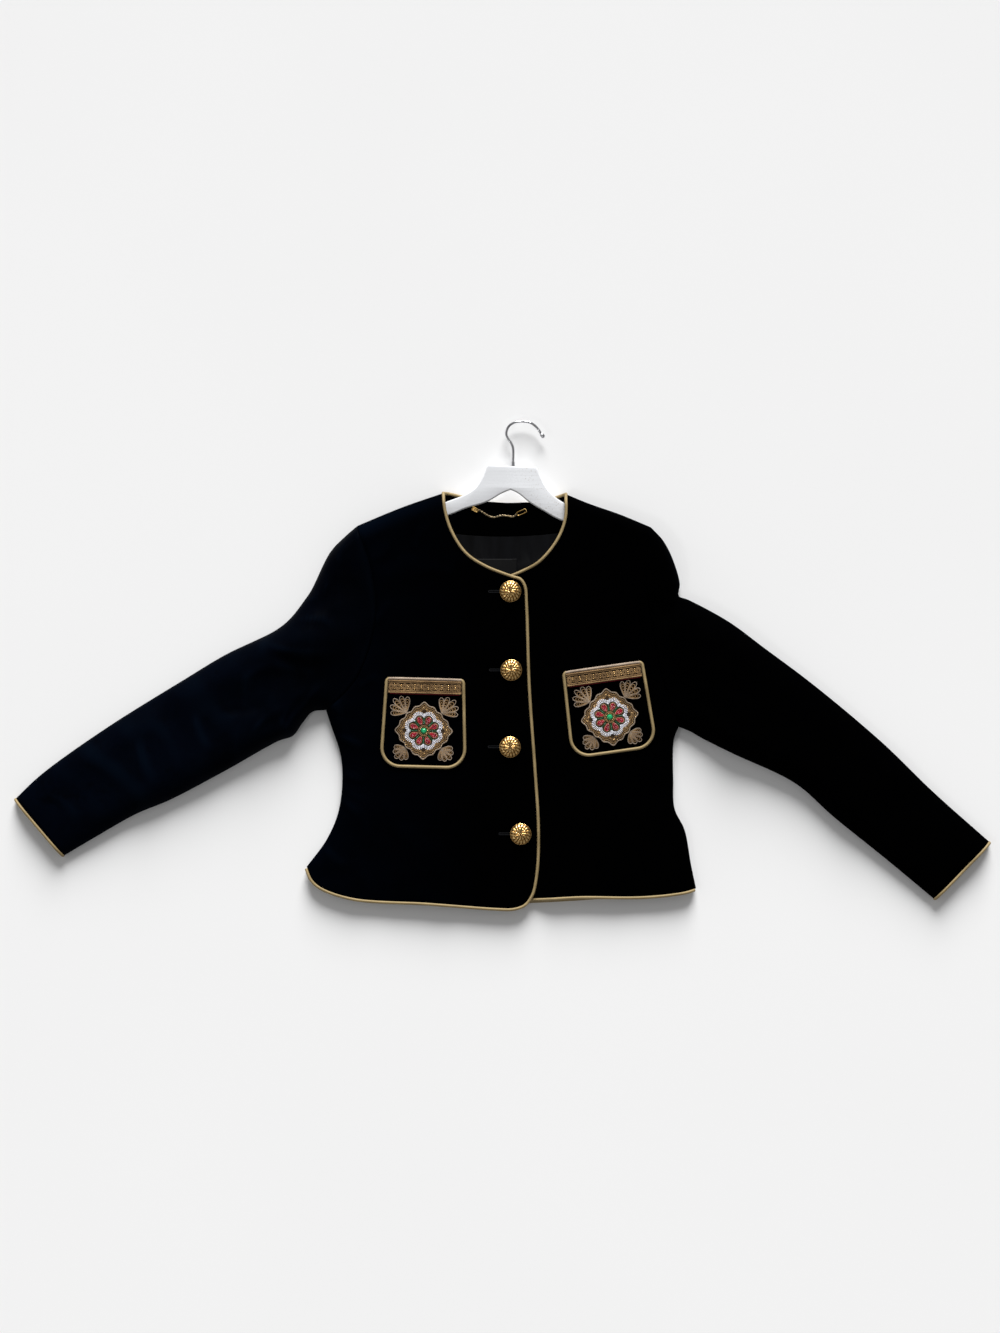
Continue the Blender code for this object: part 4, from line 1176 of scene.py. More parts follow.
@dataclass(frozen=True)
class BeadFinish(Finish):
    """Glass beads, each a little lighter or darker than the next."""

    deep: Colour = (0.1, 0.0, 0.01)
    rough: float = 0.16
    metal: float = 0.0

    def draw(self, graph: Graph) -> None:
        """Adds the beads' own shades.

        Args:
            graph: the material's nodes.
        """
        cells = graph.add("TexVoronoi", Vector=graph.places.outputs["Object"], Scale=620.0)
        shade = graph.between(cells.outputs["Color"], ((0.15, self.deep), (0.75, self.colour)))
        graph.shade(
            Base_Color=shade,
            Roughness=self.rough,
            Metallic=self.metal,
            Coat_Weight=0.6,
            Coat_Roughness=0.06,
        )


@dataclass(frozen=True)
class FloorFinish(Finish):
    """The pale surface that the jacket lies on."""

    def draw(self, graph: Graph) -> None:
        """Adds a trace of unevenness.

        Args:
            graph: the material's nodes.
        """
        cloudy = graph.noise(graph.scaled("Object"), 1.5, 2.0)
        dimmer = tuple(channel * 0.992 for channel in self.colour)
        graph.shade(
            Base_Color=graph.between(cloudy, ((0.4, dimmer), (0.6, self.colour))),
            Roughness=0.9,
            Specular_IOR_Level=0.1,
        )


VELVET = VelvetFinish("velvet black", (0.0001, 0.0001, 0.00016), sheen=0.008)
VELVET_BLUE = VelvetFinish("velvet blue black", (0.0001, 0.0001, 0.00016), gloss=0.007, rough=(0.46, 0.54))
SATIN = SatinFinish("satin black", (0.001, 0.001, 0.0013))
LABEL = WovenFinish("label weave", (0.0012, 0.0012, 0.0014), lit=(0.0035, 0.0035, 0.004))
THREAD = WovenFinish("navy thread", (0.0012, 0.0014, 0.002), lit=(0.0055, 0.006, 0.008))
RED_THREAD = WovenFinish("red thread", (0.12, 0.006, 0.012), lit=(0.3, 0.015, 0.03))
BRAID_GOLD = BraidFinish("braid gold", (0.3, 0.215, 0.1))
LACE_WIND = {"pitch": 0.0007, "slant": 0.9}
LACE_GOLD = BraidFinish(
    "lace gold", (0.23, 0.125, 0.05), deep=(0.045, 0.022, 0.008), bright=(0.62, 0.4, 0.18), metal=0.4, **LACE_WIND
)
LACE_PALE = BraidFinish(
    "lace pale", (0.27, 0.2, 0.14), deep=(0.09, 0.06, 0.04), bright=(0.52, 0.42, 0.32), metal=0.3, **LACE_WIND
)
NET_GOLD = WovenFinish("lace net", (0.02, 0.011, 0.005), lit=(0.11, 0.065, 0.03), pitch=0.0008)
BRASS = MetalFinish("button gold", (0.83, 0.55, 0.2), dull=(0.36, 0.2, 0.05), sharp=70.0)
BUTTON_GOLD = ReliefFinish("button relief gold", (0.8, 0.56, 0.25), dull=(0.4, 0.2, 0.05), rough=(0.2, 0.5), sharp=70.0)
CHAIN_GOLD = MetalFinish("chain gold", (0.56, 0.44, 0.27), dull=(0.26, 0.18, 0.09), rough=(0.2, 0.36), sharp=70.0)
CHROME = MetalFinish("hook chrome", (0.66, 0.66, 0.68), dull=(0.42, 0.42, 0.44), rough=(0.08, 0.2), scale=70.0)
WHITE_WOOD = PaintFinish("white painted wood", (0.71, 0.72, 0.74), sharp=60.0)
RED_GLASS = BeadFinish("red beads", (0.42, 0.006, 0.025), deep=(0.12, 0.001, 0.008))
WHITE_GLASS = BeadFinish("white beads", (0.86, 0.86, 0.9), deep=(0.55, 0.55, 0.62), rough=0.22)
GREEN_GLASS = BeadFinish("green beads", (0.012, 0.2, 0.085), deep=(0.003, 0.07, 0.03))
GREEN_STONE = BeadFinish("green stone", (0.01, 0.42, 0.16), deep=(0.004, 0.22, 0.08), rough=0.05, sharp=15.0)
GOLD_GLASS = BeadFinish("gold beads", (0.78, 0.5, 0.2), deep=(0.34, 0.19, 0.06), metal=0.8, rough=0.24)
FLOOR = FloorFinish("pale floor", (0.87, 0.87, 0.87))


@dataclass
class Body:
    """The back and the two fronts of the jacket."""

    rows: tuple[int, int] = (66, 74)  # how many rows go up the side and round the armhole
    across: int = 58
    across_back: int = 84
    plans: dict[str, Array] = field(default_factory=dict)
    heights: dict[str, Array] = field(default_factory=dict)
    pieces: dict[str, Piece] = field(default_factory=dict)

    def outer(self, side: Side) -> tuple[Line, Array]:
        """The outer edge of a panel, up the side and round the armhole.

        Args:
            side: which side's.

        Returns:
            The edge, and the distances along it that get a row.
        """
        lines = SEAMS[side]
        side_line = lines.side.after(EDGE)
        outer = side_line.join(lines.armhole)
        on_side = stations(side_line.total, self.rows[0], False, False)[:-1]
        on_armhole = side_line.total + stations(lines.armhole.total, self.rows[1], True, True)
        return outer, np.concatenate([on_side, on_armhole])

    def front(self, side: Side, hem_table: Table, edge_table: Table) -> Array:
        """The plan of a front, from its hem to its shoulder seam, and from its side to its closing.

        Args:
            side: which front.
            hem_table: the outline along the hem, from the side.
            edge_table: the outline up the closing and round the neck.

        Returns:
            The plan points.
        """
        lines = SEAMS[side]
        hem_line = Line.through(hem_table)
        around = hem_line.join(Line.through(edge_table)).moved(-side.outward * EDGE)
        outer, rows = self.outer(side)
        split = hem_line.total
        shoulder = lines.shoulder.back()
        around = around.ends_at(outer.share(0.0), shoulder.at(shoulder.total - EDGE))
        hem, edge = around.before(split), around.after(split)
        top = shoulder.before(shoulder.total - EDGE)
        return patch(hem, top, outer, edge, (rows, rows * edge.total / outer.total), self.across, (True, False))

    @staticmethod
    def lap(points: Array) -> Array:
        """How far the under front lies lower, below the top front and close to its edge.

        Args:
            points: places in the plane.

        Returns:
            The dip at each.
        """
        over = Line.through(FRONT_EDGE_RIGHT).points
        over = over[over[:, 1] < 112.0]
        edge_x = np.interp(points[..., 1], over[:, 1], over[:, 0])
        away = np.maximum(points[..., 0] - edge_x, 0.0)
        return LAP_DIP * ease(1.0 - away / LAP_SLOPE)

    def back(self) -> Array:
        """The plan of the back, from its hem to its shoulders and neck.

        Returns:
            The plan points.
        """
        left, left_rows = self.outer(Side.RIGHT)
        right, right_rows = self.outer(Side.LEFT)
        hem = Line.through(HEM_BACK).moved(EDGE).ends_at(left.share(0.0), right.share(0.0))
        shoulders = [SEAMS[side].shoulder for side in Side]
        neck = Line.through(NECK_BACK).moved(-EDGE).ends_at(*[line.at(EDGE) for line in shoulders])
        ends = [line.after(EDGE) for line in shoulders]
        top = ends[0].back().join(neck).join(ends[1])
        return patch(hem, top, left, right, (left_rows, right_rows), self.across_back, (True, True))

    def build(self) -> None:
        """Makes and dresses the three panels."""
        self.plans = {
            "front_right": self.front(Side.RIGHT, HEM_RIGHT, FRONT_EDGE_RIGHT),
            "front_left": self.front(Side.LEFT, HEM_LEFT, FRONT_EDGE_LEFT),
            "back": self.back(),
        }
        for name, plan in self.plans.items():
            high = Drape.under(plan) if name == "back" else Drape.top(plan)
            if name == "front_left":
                high = high - self.lap(plan)
            self.heights[name] = high
            rests_on = "pale_floor" if name == "back" else "back"
            self.pieces[name] = cloth(name, plan, high, CLOTH, VELVET, rests_on, name != "back")


@dataclass
class Sleeve:
    """One sleeve: its upper and under halves, and the braid round its cuff."""

    side: Side
    head: float = 0.34  # the share of its length with close rows
    rows: tuple[int, int] = (84, 60)  # in the head and below it
    across: int = 26
    cuff_step: float = 1.0

    def build(self, braid: Braid) -> None:
        """Makes and dresses the sleeve.

        Args:
            braid: what binds its cuff.
        """
        lines, side = SEAMS[self.side], self.side.value
        top = lines.sleeve_top.before(lines.sleeve_top.total - EDGE).after(ARMHOLE_GAP)
        low = lines.sleeve_low.before(lines.sleeve_low.total - EDGE).after(ARMHOLE_GAP)
        armhole = lines.armhole.moved(-self.side.outward * ARMHOLE_GAP).ends_at(low.share(0.0), top.share(0.0))
        cuff = Line(np.array([low.share(1.0), top.share(1.0)]))
        head, rest = self.rows
        along = np.concatenate([np.linspace(0.0, self.head, head), np.linspace(self.head, 1.0, rest)[1:]])
        plain = patch(armhole, cuff, low, top, (along * low.total, along * top.total), 2 * self.across)
        runs = [Line(row) for row in relaxed(plain)]
        plan = np.array([run.at(stations(run.total, self.across, True, True)) for run in runs])
        share = np.repeat(along[:, None], plan.shape[1], axis=1)
        span = plan[-1].mean(axis=0) - plan[0].mean(axis=0)
        turn = math.atan2(span[1], span[0])
        velvet = VELVET_BLUE if self.side is Side.RIGHT else VELVET
        halves = {"upper": Drape.top(plan, share), "under": Drape.under(plan)}
        for half, high in halves.items():
            rests_on = f"sleeve_{side}_under" if half == "upper" else "pale_floor"
            cloth(f"sleeve_{side}_{half}", plan, high, CLOTH, velvet, rests_on, half == "upper", turn)
        self.bind(plan, halves["upper"], halves["under"], braid)

    def bind(self, plan: Array, upper: Array, under: Array, braid: Braid) -> None:
        """Lays braid round the open end.

        Args:
            plan: the sleeve's plan points, with the cuff last.
            upper: the upper half's heights.
            under: the under half's.
            braid: what lays it.
        """
        skip = len([d for d in NEAR_SEAM if d < 1.5])
        out = (plan[-1] - plan[-2]).mean(axis=0)
        out *= (BRAID - BITE) / np.linalg.norm(out)
        inner = plan[-1, skip:-skip] + out
        above = np.column_stack([inner, upper[-1, skip:-skip] - CLOTH / 2])
        below = np.column_stack([inner, np.maximum(under[-1, skip:-skip] + CLOTH / 2, LOWEST)])
        span = plan[-1, -1] - plan[-1, 0]
        span /= np.linalg.norm(span)
        ends = [np.append(plan[-1, k] + out + sign * span * CLOTH / 2, SEAM_Z) for k, sign in ((0, 1), (-1, -1))]
        ring = np.vstack([ends[0], above, ends[1], below[::-1], ends[0]])
        name = f"braid_cuff_{self.side.value}"
        braid.lay(name, Line(ring).evenly(self.cuff_step)[:-1], closed=True)


@dataclass
class Braid:
    """The gold braid that binds every free edge."""

    radius: float = BRAID
    plies: int = 4
    pitch: float = 11.0
    depth: float = 0.06
    sides: int = 12
    step: float = 1.0
    tops: dict[Side, Array] = field(default_factory=dict)

    def lay(self, name: str, points: Array, closed: bool = False) -> None:
        """Lays one run of braid.

        Args:
            name: the piece's name, which is also the node that it replaces.
            points: rows of (x, y, z).
            closed: whether the last point meets the first.
        """
        bm = bmesh.new()
        section = plied(self.radius, self.plies, self.pitch, self.depth)
        tube(bm, points, section, self.sides, closed)
        put(bm, name, BRAID_GOLD, [name])

    def bind(self, body: Body) -> None:
        """Binds the fronts, the back's hem and the back of the neck.

        Args:
            body: the panels.
        """
        reach = self.radius - BITE
        for side, turn in ((Side.RIGHT, 1.0), (Side.LEFT, -1.0)):
            name = f"front_{side.value}"
            plan, high = body.plans[name], body.heights[name]
            skip = len([d for d in NEAR_SEAM if d < 2.0])
            line = np.vstack([plan[0, skip:], plan[1:-skip, -1]])
            level = np.concatenate([high[0, skip:], high[1:-skip, -1]]) - CLOTH / 2
            path = Line(np.column_stack([beside(line, turn * reach), level]))
            self.tops[side] = path.points[-1]
            self.lay(f"braid_{name}", path.evenly(self.step))
        back = body.plans["back"]
        hem = Line(beside(back[0, 4:-4], reach))
        self.lay("braid_back_hem", np.insert(hem.evenly(self.step), 2, LOWEST, axis=1))
        neck = Line.through(NECK_BACK).moved(-EDGE)
        ends = [SEAMS[side].shoulder.at(EDGE) for side in Side]
        neck = neck.ends_at(*ends)
        neck = neck.after(NECK_TRIM).before(neck.total - NECK_TRIM)
        line = beside(neck.points, -reach)[::6]
        level = np.maximum(Drape.under(line) + CLOTH / 2, LOWEST)
        middle = np.column_stack([line, level])
        over = []
        for side, point in zip(Side, ends):
            top = self.tops[side]
            bend = np.array([point[0] - side.outward * 2.2, point[1] + 0.2, SEAM_Z + 2.0])
            over.append([top, (top + bend) / 2 + np.array([side.outward * 0.5, 1.3, 1.6]), bend])
        path = np.vstack([over[0], middle, over[1][::-1]])
        path = Line.through([tuple(row) for row in path], 1.0).evenly(self.step)
        path[:, 2] = np.maximum(path[:, 2], LOWEST)
        self.lay("braid_back_neck", path)


@dataclass
class Pocket:
    """A patch pocket: its cloth, braid, lace band and beaded panel."""

    side: Side
    x: float
    y: float
    turn: float  # degrees
    top: float
    bottom: float
    high: float
    corner: float = 26.0
    thickness: float = 1.6
    band_high: float = 17.0
    band_thick: float = 1.0
    bulge: float = 1.1
    bulge_wide: float = 22.0
    cells: tuple[int, int] = (40, 36)  # rows and columns of the cloth
    bend_at: Row = (10.0, 30.0, 50.0, 70.0, 88.0)  # angles of the braid's bend into the mouth, in degrees
    bend_radius: float = 4.4

    def outline(self, inset: float) -> tuple[Line, Line, Line, Line]:
        """The outline in the pocket's own plane.

        Args:
            inset: how far inside the pocket's edge it runs.

        Returns:
            Its low, high, left and right lines.
        """
        half_high = self.high / 2
        radius = self.corner - inset
        half_low, half_top = self.bottom / 2, self.top / 2
        half_bend = half_low + (half_top - half_low) * self.corner / self.high
        centre = np.array([half_bend - self.corner, self.corner - half_high])

        def arc(start: float, end: float) -> list[Array]:
            """Points of the round corner, between two angles in degrees."""
            turns = np.radians(np.linspace(start, end, 13))
            return [centre + radius * np.array([math.cos(t), math.sin(t)]) for t in turns]

        right = Line(np.array(arc(-45, 0) + [np.array([half_top - inset, half_high - inset])]))
        mirror = np.array([-1.0, 1.0])
        left = Line(right.points * mirror)
        low_half = arc(-90, -45)
        low = Line(np.array([p * mirror for p in reversed(low_half)] + low_half))
        high = Line(np.array([left.points[-1], right.points[-1]]))
        return low, high, left, right

    def turned(self, points: Array) -> Array:
        """Points of the pocket's own plane, at the pocket's place on the tables."""
        x, y = rotated(points[..., 0], points[..., 1], math.radians(self.turn))
        return np.stack([x + self.x, y + self.y], axis=-1)

    def raised(self, ground: Ground, points: Array, lift: Values) -> Array:
        """Points of the pocket's own plane as (x, y, z), this far above the ground."""
        plan = self.turned(np.asarray(points, float))
        return np.column_stack([plan, ground.heights(plan) + lift])

    def build(self, panel_top: Ground, braid: Braid) -> None:
        """Makes and dresses the pocket.

        Args:
            panel_top: the front's upper face.
            braid: what binds the pocket.
        """
        name = self.side.value
        low, high, left, right = self.outline(EDGE)
        rows = np.linspace(0.0, left.total, self.cells[0])
        flat = patch(low, high, left, right, (rows, rows), self.cells[1])
        plan = self.turned(flat)
        edge = np.minimum.reduce(
            [np.linalg.norm(flat - p, axis=-1) for line in (low, left, right) for p in line.evenly(3.0)]
        )
        level = panel_top.heights(plan) + GAP + self.thickness + self.bulge * ease(edge / self.bulge_wide)
        turn, front = math.radians(self.turn), f"front_{name}"
        pouch = Ground(cloth(f"pocket_{name}", plan, level, self.thickness, VELVET, front, grain=turn))
        self.bind(plan, panel_top, braid)
        lace = Lace(self, pouch)
        lace.band()
        Embroidery(self, pouch, lace).build()

    def bind(self, plan: Array, panel_top: Ground, braid: Braid) -> None:
        """Lays braid down the sides and round the bottom, and a pale cord along the mouth.

        Args:
            plan: the pocket cloth's plan.
            panel_top: the front's upper face.
            braid: what binds the pocket.
        """
        name = self.side.value
        around = beside(Line(np.vstack([plan[:0:-1, 0], plan[0, :-1], plan[:, -1]])).evenly(1.6), BRAID - BITE)
        t = np.radians(self.bend_at)
        bend = np.array([self.top / 2 - BRAID, self.high / 2 - BRAID])
        bend = bend + (np.stack([np.cos(t), np.sin(t)], axis=1) - 1) * self.bend_radius
        around = np.vstack([self.turned(bend[::-1] * (-1.0, 1.0)), around[2:-2], self.turned(bend)])
        path = np.column_stack([around, panel_top.heights(around) + GAP + BRAID])
        braid.lay(f"braid_pocket_{name}", Line(path).evenly(braid.step))
        x = np.linspace(-1.0, 1.0, 90) * (self.top / 2 - BRAID - 2.6)
        mouth = self.turned(np.column_stack([x, self.high / 2 - BRAID - 0.4 * np.abs(x / x[0]) ** 8]))
        bm = bmesh.new()
        path = np.column_stack([mouth, panel_top.heights(mouth) + GAP + BRAID + 0.25])
        tube(bm, path, plied(BRAID, 3, 7.0, 0.1), 12)
        put(bm, f"pocket_mouth_cord_{name}", LACE_PALE)


@dataclass
class Lace:
    """Metallic lace: a net with cords and scrolls laid on it."""

    pocket: Pocket
    ground: Ground
    cells: tuple[int, int] = (14, 70)  # rows and columns of the net
    corded: Table = ((1.2, 0.95), (3.3, 0.6), (-3.0, 0.6), (-1.0, 0.95))  # each cord's place from an edge, and radius
    scroll_radius: float = 0.48
    scrolls: int = 11
    thread: float = 0.6
    bud: float = 0.85

    def cord(self, bm: BMesh, points: Array, radius: float, lift: float, closed: bool = False) -> None:
        """Adds a fine cord that follows points of the pocket's plane, this far above the ground."""
        path = self.pocket.raised(self.ground, points, lift + radius * 0.7)
        tube(bm, path, plied(radius, 2, radius * 7.0, 0.3), 6, closed)

    def band(self) -> None:
        """The band along the pocket's mouth: net, corded edges, red thread, and scrolls with buds between them."""
        pocket, name = self.pocket, self.pocket.side.value
        half = pocket.top / 2 - EDGE - GAP
        high = pocket.high / 2 - EDGE - GAP
        low = high - pocket.band_high
        across, up = np.linspace(-half, half, self.cells[1]), np.linspace(low, high, self.cells[0])
        plan = pocket.turned(np.array([[(x, y) for x in across] for y in up]))
        level = self.ground.heights(plan) + GAP + pocket.band_thick
        turn = math.radians(pocket.turn)
        net = cloth(f"pocket_band_{name}", plan, level, pocket.band_thick, NET_GOLD, grain=turn)
        size, area = flat_size(plan, level, turn)
        on_net = Lace(pocket, Ground(net))
        bm = bmesh.new()
        for inset, radius in self.corded:
            y = (low if inset > 0 else high) + inset
            on_net.cord(bm, np.array([(x, y) for x in np.linspace(-half + 0.6, half - 0.6, 90)]), radius, 0.0)
        middle, reach = (low + high) / 2, (high - low) / 2 - 3.6
        pitch = 2 * half / self.scrolls
        x = np.linspace(-half + 1.5, half - 1.5, 150)
        for sign in (-1.0, 1.0):
            vine = np.column_stack([x, middle + sign * reach * 0.8 * np.sin((x + half) / pitch * math.pi)])
            on_net.cord(bm, vine, self.scroll_radius, 0.2)
        for k in range(self.scrolls):
            for start in (0.0, math.pi):
                on_net.spiral(bm, (-half + pitch * (k + 0.5), middle), reach * 0.62, start + (k % 2) * 0.8)
        cords = put(bm, f"pocket_band_cord_{name}", LACE_GOLD)
        bm = bmesh.new()
        run = np.column_stack([np.linspace(-half + 3.0, half - 3.0, 80), np.full(80, low - 0.5)])
        tube(bm, pocket.raised(self.ground, run, 0.55), plied(self.thread, 2, 3.0, 0.2), 6)
        thread = put(bm, f"pocket_band_thread_{name}", RED_THREAD)
        buds = Beads()
        for k in range(1, self.scrolls):
            for dy in (-2.6, 0.0, 2.6):
                spot = np.array([(-half + pitch * k, middle + dy)])
                buds.add(pocket.raised(on_net.ground, spot, 0.5)[0], self.bud)
        made = put(buds.join(), f"pocket_band_bud_{name}", GOLD_GLASS)

    def spiral(self, bm: BMesh, centre: Row, reach: float, turn: float) -> None:
        """Adds a curled tendril.

        Args:
            bm: the mesh that it is added to.
            centre: its middle, in the pocket's plane.
            reach: how far it reaches.
            turn: the angle that it starts at.
        """
        t = np.linspace(0.0, 1.0, 22)
        angle = turn + t * math.tau * 1.15
        out = reach * (1.0 - 0.72 * t)
        run = np.column_stack([centre[0] + out * np.cos(angle) * 1.1, centre[1] + out * np.sin(angle)])
        self.cord(bm, run, self.scroll_radius * 0.9, 0.25)


@dataclass
class Beads:
    """Beads of one colour, which become one piece."""

    batch: int = 30  # a bmesh of only this many beads at a time stays quick
    spots: list[tuple[Array, float]] = field(default_factory=list)

    def add(self, centre: Array, radius: float) -> None:
        """Adds one bead at a place of the tables."""
        self.spots.append((centre, radius))

    def join(self) -> BMesh:
        """Makes the beads, as one mesh.

        Returns:
            The mesh.
        """
        whole, part = bmesh.new(), bpy.data.meshes.new("batch")
        for first in range(0, len(self.spots), self.batch):
            bm = bmesh.new()
            for centre, radius in self.spots[first : first + self.batch]:
                made = bmesh.ops.create_icosphere(bm, subdivisions=2, radius=radius * MM)["verts"]
                bmesh.ops.scale(bm, vec=(1.0, 1.0, 0.8), verts=made)
                bmesh.ops.translate(bm, vec=place(*centre), verts=made)
            bm.to_mesh(part)
            bm.free()
            whole.from_mesh(part)
        bpy.data.meshes.remove(part)
        return whole


@dataclass
class Embroidery:
    """A beaded and corded lozenge below the band: a flower of eight petals with a stone at its heart."""

    pocket: Pocket
    ground: Ground
    lace: Lace
    top: Ground = field(init=False)  # the finished pad's upper face
    wide: float = 37.0
    high: float = 37.0
    down: float = 10.0  # how far the lozenge's middle lies below the pocket's
    cut: tuple[float, float] = (1.03, 0.66)  # the net's cut against the lozenge's width, and the share that it fills
    lobes: int = 16
    bead_size: float = 0.88
    scatter: float = 0.15
    petals_round: int = 8
    petal_size: Row = (13.6, 5.6, 4.1)  # how far out a petal's middle lies, its half length and its half width
    petal_rings: Table = ((0.78, 17), (0.46, 9), (0.16, 3))  # a ring's share of the petal, and its beads
    heart: float = 6.6
    loops: int = 40
    loop_in: float = 7.2  # how far in from the edge the lace loops' middle lies
    loop_reach: float = 2.2
    ray_long: tuple[float, float] = (24.0, 18.5)  # a fan's middle ray, in the upper and the lower corners
    ray_wide: float = 4.3
    ray_turn: float = 0.43  # between two rays of a fan
    stone_size: Row = (3.9, 2.2, 2.2)  # lower and upper radius, and height

    def reach(self, angle: Values, inset: float = 0.0) -> Array:
        """How far the lozenge's scalloped edge lies from its middle, at an angle."""
        wide, high = np.abs(np.cos(angle)) / self.wide, np.abs(np.sin(angle)) / self.high
        return (wide**1.35 + high**1.35) ** (-1 / 1.35) * (1 + 0.03 * np.cos(self.lobes * angle)) - inset

    def spot(self, out: Values, angle: Values) -> Array:
        """A point of the pocket's plane, from its distance and angle about the lozenge's middle."""
        return np.stack([out * np.cos(angle), out * np.sin(angle) - self.down], axis=-1)

    def sewn(self, bm: BMesh, kind: str, finish: Finish) -> Piece:
        """Makes one of the pieces that are sewn on the pad."""
        return put(bm, f"applique_{kind}_{self.pocket.side.value}", finish)

    def pad(self) -> Piece:
        """The net that carries the work, crowned over its padding.

        Returns:
            The new object.
        """
        bm = bmesh.new()
        bmesh.ops.create_uvsphere(bm, u_segments=128, v_segments=28, radius=1.0)
        layer = bm.loops.layers.uv.verify()
        for vert in bm.verts:
            angle = math.atan2(vert.co.y, vert.co.x)
            out = min(1.0, math.hypot(vert.co.x, vert.co.y))
            x, y = self.pocket.turned(self.spot(out * float(self.reach(angle)), angle))
            rise = 0.9 + 1.1 * max(vert.co.z, 0.0) if vert.co.z > 0.02 else 0.0
            vert.co = place(x, y, self.ground.height(x, y) + GAP + rise)
            for loop in vert.link_loops:
                loop[layer].uv = vert.co.xy
        name = f"applique_{self.pocket.side.value}"
        return put(bm, name, NET_GOLD, [name])

    def build(self) -> None:
        """Makes the pad and everything that is sewn on it."""
        pad = self.pad()
        self.top = Ground(pad)
        pieces = [self.edge(), self.fans(), self.border(), *self.beadwork(), self.stone()]

    def lay(self, points: Array, lift: float) -> Array:
        """Points of the pocket's plane as (x, y, z), this far above the pad."""
        return self.pocket.raised(self.top, points, lift)

    def cord(self, bm: BMesh, points: Array, radius: float) -> None:
        """Adds a closed gold cord on the pad."""
        tube(bm, self.lay(points, radius * 0.8), plied(radius, 2, radius * 7.0, 0.3), 6, True)

    def border(self) -> Piece:
        """Scalloped cords round the edge, lace loops inside it, and the outlines of the petals.

        Returns:
            The new object.
        """
        bm = bmesh.new()
        t = angles_round(300)
        self.cord(bm, self.spot(self.reach(t, 3.6) * 0.985, t), 0.5)
        t = angles_round(420)
        wave = self.loop_in + self.loop_reach * np.sin(t * self.loops)
        self.cord(bm, self.spot(self.reach(t) * 0.98 - wave, t), 0.42)
        self.cord(bm, self.spot(self.reach(t) * 0.98 - 2 * self.loop_in + wave, t), 0.42)
        t = angles_round(140)
        self.cord(bm, self.spot(self.heart + 0 * t, t), 0.6)
        for k in range(self.petals_round):
            self.cord(bm, self.petal(k, 1.0), 0.52)
        return self.sewn(bm, "cord", LACE_GOLD)

    def loop(self, up: float, across: float, number: int, share: float) -> Array:
        """One looped ray of the fan in a corner of the pocket.

        Args:
            up: 1 in an upper corner, -1 in a lower one.
            across: 1 in a right corner, -1 in a left one.
            number: the ray's, from -2 to 2.
            share: its size against the outermost cord.

        Returns:
            Points of the pocket's plane.
        """
        heading = math.atan2(up, across)
        base = self.spot(float(self.reach(heading)) + 0.6, heading)
        length = self.ray_long[0 if up > 0 else 1] - 1.9 * abs(number)
        t = angles_round(36)
        out = share * length * (0.5 - 0.5 * np.cos(t)) + (1.0 - share) * 4.0
        aside = share * self.ray_wide * np.sin(t) * (0.66 - 0.34 * np.cos(t))
        return base + np.column_stack(rotated(out, aside, heading + number * self.ray_turn * across * up))

    def rays(self) -> Iterable[tuple[float, float, int]]:
        """Every ray of the four fans: which corner it is in, and its number."""
        return ((up, across, k) for up in (1.0, -1.0) for across in (1.0, -1.0) for k in range(-2, 3))

    def edge(self) -> Piece:
        """The pale cord round the lozenge and round each ray of the fans.

        Returns:
            The new object.
        """
        bm = bmesh.new()
        t = angles_round(300)
        self.cord(bm, self.spot(self.reach(t, 1.2), t), 0.8)
        for ray in self.rays():
            self.lace.cord(bm, self.loop(*ray, 1.0), 0.62, 0.0, True)
        return self.sewn(bm, "edge", LACE_PALE)

    def fans(self) -> Piece:
        """The gold cords inside the rays of the fans.

        Returns:
            The new object.
        """
        bm = bmesh.new()
        for ray in self.rays():
            for share in (0.8, 0.6, 0.4, 0.2):
                self.lace.cord(bm, self.loop(*ray, share), 0.5, 0.1, True)
        return self.sewn(bm, "fan", LACE_GOLD)

    def heading(self, number: int) -> float:
        """The angle that a petal points at."""
        return number * math.tau / self.petals_round + math.tau / (2 * self.petals_round)

    def petal(self, number: int, share: float) -> Array:
        """The outline of one petal.

        Args:
            number: the petal's.
            share: its size against the whole petal.

        Returns:
            Points of the pocket's plane.
        """
        middle, long, wide = self.petal_size
        t = angles_round(40)
        out = middle + share * long * np.cos(t)
        aside = share * wide * np.sin(t) * (0.72 + 0.28 * np.cos(t))
        return np.column_stack(rotated(out, aside, self.heading(number))) - (0.0, self.down)

    def strew(self, kind: str, finish: Finish, seed: int, spots: Iterable[tuple[Array, float]]) -> Piece:
        """Sews on beads of one colour, each a little off and of its own size.

        Args:
            kind: the piece's name.
            finish: the beads'.
            seed: starts the draws.
            spots: each bead's point of the pocket's plane and its radius.

        Returns:
            The new object.
        """
        beads, draw = Beads(), random.Random(seed).uniform
        for spot, radius in spots:
            moved = [value + draw(-self.scatter, self.scatter) for value in spot]
            size = radius * draw(0.88, 1.1)
            beads.add(self.lay(np.array([moved]), size * 0.5)[0], size)
        return self.sewn(beads.join(), kind, finish)

